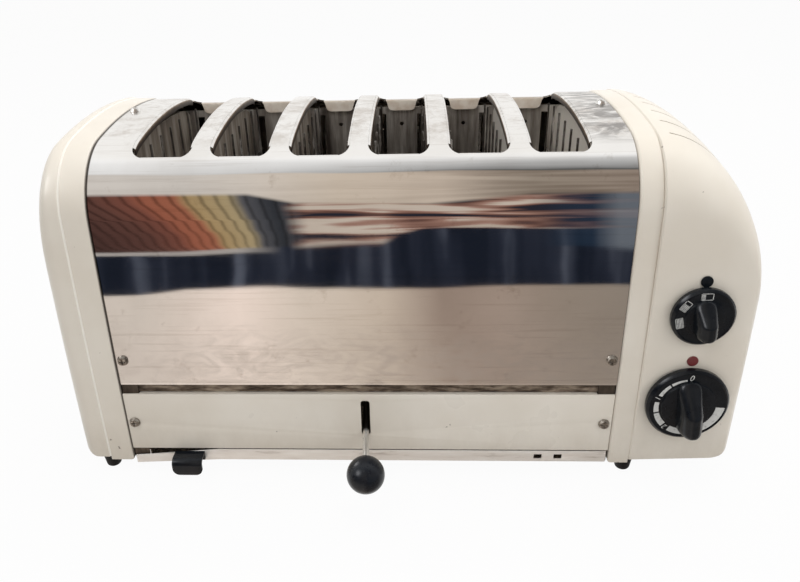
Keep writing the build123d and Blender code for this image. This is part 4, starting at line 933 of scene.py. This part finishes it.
def knob(name, body, skirt_depth, disc_r, grip):
    """A knob in the place of its CAD piece. Gives the face's middle in mm, on which it is printed."""
    low, high = [corner * 1000 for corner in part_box(f"{body}_knob")]
    skirt_r = (high.x - low.x) / 2
    x, rear_y, z = (low.x + high.x) / 2, high.y, (low.z + high.z) / 2
    wall_depth = skirt_depth - skirt_bevel
    bpy.ops.object.select_all(action="DESELECT")
    bpy.ops.mesh.primitive_cylinder_add(
        vertices=96, radius=skirt_r / 1000, depth=wall_depth / 1000,
        location=(x / 1000, (rear_y - wall_depth / 2) / 1000, z / 1000), rotation=(pi / 2, 0, 0))
    skirt = bpy.context.object
    bpy.ops.object.transform_apply(location=True, rotation=True, scale=True)
    select_faces(skirt, lambda centre, normal: normal.y < -0.99)
    inner_r = skirt_r - skirt_bevel - rim_flat - face_sunk
    bpy.ops.mesh.inset(thickness=skirt_bevel / 1000, depth=skirt_bevel / 1000)
    bpy.ops.mesh.inset(thickness=rim_flat / 1000)
    bpy.ops.mesh.inset(thickness=face_sunk / 1000, depth=-face_sunk / 1000)
    bpy.ops.mesh.inset(thickness=(inner_r - disc_r) / 1000)
    bpy.ops.mesh.inset(thickness=disc_slope / 1000, depth=(disc_height + face_sunk) / 1000)
    bpy.ops.object.mode_set(mode="OBJECT")
    apply_modifier(skirt, "BEVEL", width=0.25 / 1000, segments=3, limit_method="ANGLE",
                   angle_limit=radians(25))

    length, width, height = grip
    face_y = rear_y - skirt_depth + face_sunk
    tall = height + disc_height + face_sunk
    arc = [radians(180 - 7.5 * i) for i in range(25)]
    section = [((1 if cos(a) > 0 else -1) * abs(cos(a)) ** grip_round, sin(a) ** grip_round)
               for a in arc]
    rows = []
    for step in range(49):
        up = -length / 2 * cos(pi * step / 48)
        past = max(0.0, abs(up) - (length - width) / 2) / (width / 2)
        half_w = width / 2 * max(0.0, 1 - past**plan_round) ** (1 / plan_round)
        climb = min(1.0, (length / 2 - up) / (ramp_share * length))
        tip = max(0.0, 1 - past**4) ** 0.25 if up < 0 else 1.0
        rise = tall * tip * (ramp_low + (1 - ramp_low) * climb)
        arched = [(x + half_w * aside, face_y - rise * proud, z + up) for aside, proud in section]
        rows.append(arched + [(x, face_y, z + up), arched[0]])
    bar = seal(bent_sheet("grip_bar", rows))
    middle = Vector((x, 0, z)) / 1000
    bar.data.transform(Matrix.Translation(middle) @ Matrix.Rotation(grip_turn, 4, "Y")
                       @ Matrix.Translation(-middle))
    made = join(name, [skirt, bar])
    finish(made, body, gloss_black, 30.0, [f"{body}_knob"])
    return x, face_y - printed_proud, z


def face_point(middle, radius, turn):
    """A point on a knob's face, at a radius and a turn from the top, clockwise."""
    return middle[0] + radius * sin(turn), middle[1], middle[2] + radius * cos(turn)


def digit(text, middle, radius, turn, size):
    """A printed digit, its top outwards."""
    bpy.ops.object.select_all(action="DESELECT")
    bpy.ops.object.text_add()
    made = bpy.context.object
    made.data.body = text
    made.data.size = size / 1000
    made.data.align_x, made.data.align_y = "CENTER", "CENTER"
    made.data.shear = 0.25
    bpy.ops.object.convert(target="MESH")
    made.data.transform(Matrix.Translation(Vector(face_point(middle, radius, turn)) / 1000)
                        @ Matrix.Rotation(turn, 4, "Y") @ Matrix.Rotation(pi / 2, 4, "X"))
    return made


timer_face = knob("timer_dial", "timer", skirt_depth=5.0, disc_r=18.0, grip=(39.0, 16.0, 14.5))
scale_r, scale_inside, scale_thin, scale_growth, scale_end = 20.0, 0.27, 0.8, 5.0, 255
scale_parts = [digit("0", timer_face, 21.6, radians(-3), 5.8),
               digit("1", timer_face, 21.2, radians(-75), 5.2),
               digit("2", timer_face, 21.4, radians(-143), 5.2)]
for start, end in ((10, 38), (41, 68), (82, 104), (107, 136), (150, 266)):
    steps = max(2, (end - start) // 3)
    inner, outer = [], []
    for i in range(steps + 1):
        swing = start + (end - start) * i / steps
        wide = scale_thin + scale_growth * (swing / scale_end) ** 0.75
        inner_r = scale_r - scale_inside * wide
        inner.append(face_point(timer_face, inner_r, radians(-swing)))
        outer.append(face_point(timer_face, inner_r + wide, radians(-swing)))
    scale_parts.append(bent_sheet("scale_band", [outer, inner]))
finish(join("timer_scale", scale_parts), "timer", print_grey, 30.0)

selector_face = knob("selector_dial", "selector", skirt_depth=4.5, disc_r=12.5,
                     grip=(25.5, 14.0, 12.0))
picture_r, half_w, half_h, line = 15.1, 3.8, 2.4, 0.45
stripe, stripe_start, stripe_pitch = 0.5, 0.28, 0.88
picture_parts = []
for turn, striped in ((-2, 0.36), (-56, 0.66), (-104, 1.0)):
    plates = [(-half_w, half_w, half_h - line, half_h), (-half_w, half_w, -half_h, line - half_h),
              (-half_w, line - half_w, -half_h, half_h), (half_w - line, half_w, -half_h, half_h)]
    for i in range(4):
        bottom = -half_h + line + stripe_start + i * stripe_pitch
        plates.append((-half_w, -half_w + striped * 2 * half_w, bottom, bottom + stripe))
    turned = Matrix.Rotation(radians(turn), 4, "Y")
    for left, right, bottom, top in plates:
        points = [Vector(selector_face) + turned @ Vector((u, 0, picture_r + v))
                  for v in (bottom, top) for u in (left, right)]
        picture_parts.append(bent_sheet("picture_line", [points[:2], points[2:]]))
finish(join("selector_pictures", picture_parts), "selector", print_grey, 30.0)
dress(steel_bar, "timer_spindle", "selector_spindle")

# Pilot lens and plug: a dull red lens that reaches through the casting from the lamp behind it,
# and a black plastic plug with a stem, pressed into the hole above the selector.
lens_red, tree, shader, place = new_material("dull_red_lens")
film = fade(tree, noise(tree, place, 400.0, 4.0), 0.35, 0.7, 0.0, 0.4)
tree.links.new(blend_colours(tree, film, (0.17, 0.028, 0.030), (0.10, 0.035, 0.035)),
               shader.inputs["Base Color"])
shader.inputs["Roughness"].default_value = 0.30
finish(merged_copy("lamp_lens", "pilot_lens"), "housing", lens_red, 40.0,
       ["pilot_lens"])
finish(merged_copy("blanking_plug", "index_plug", 0.3, 3), "housing", gloss_black,
       40.0, ["index_plug"])
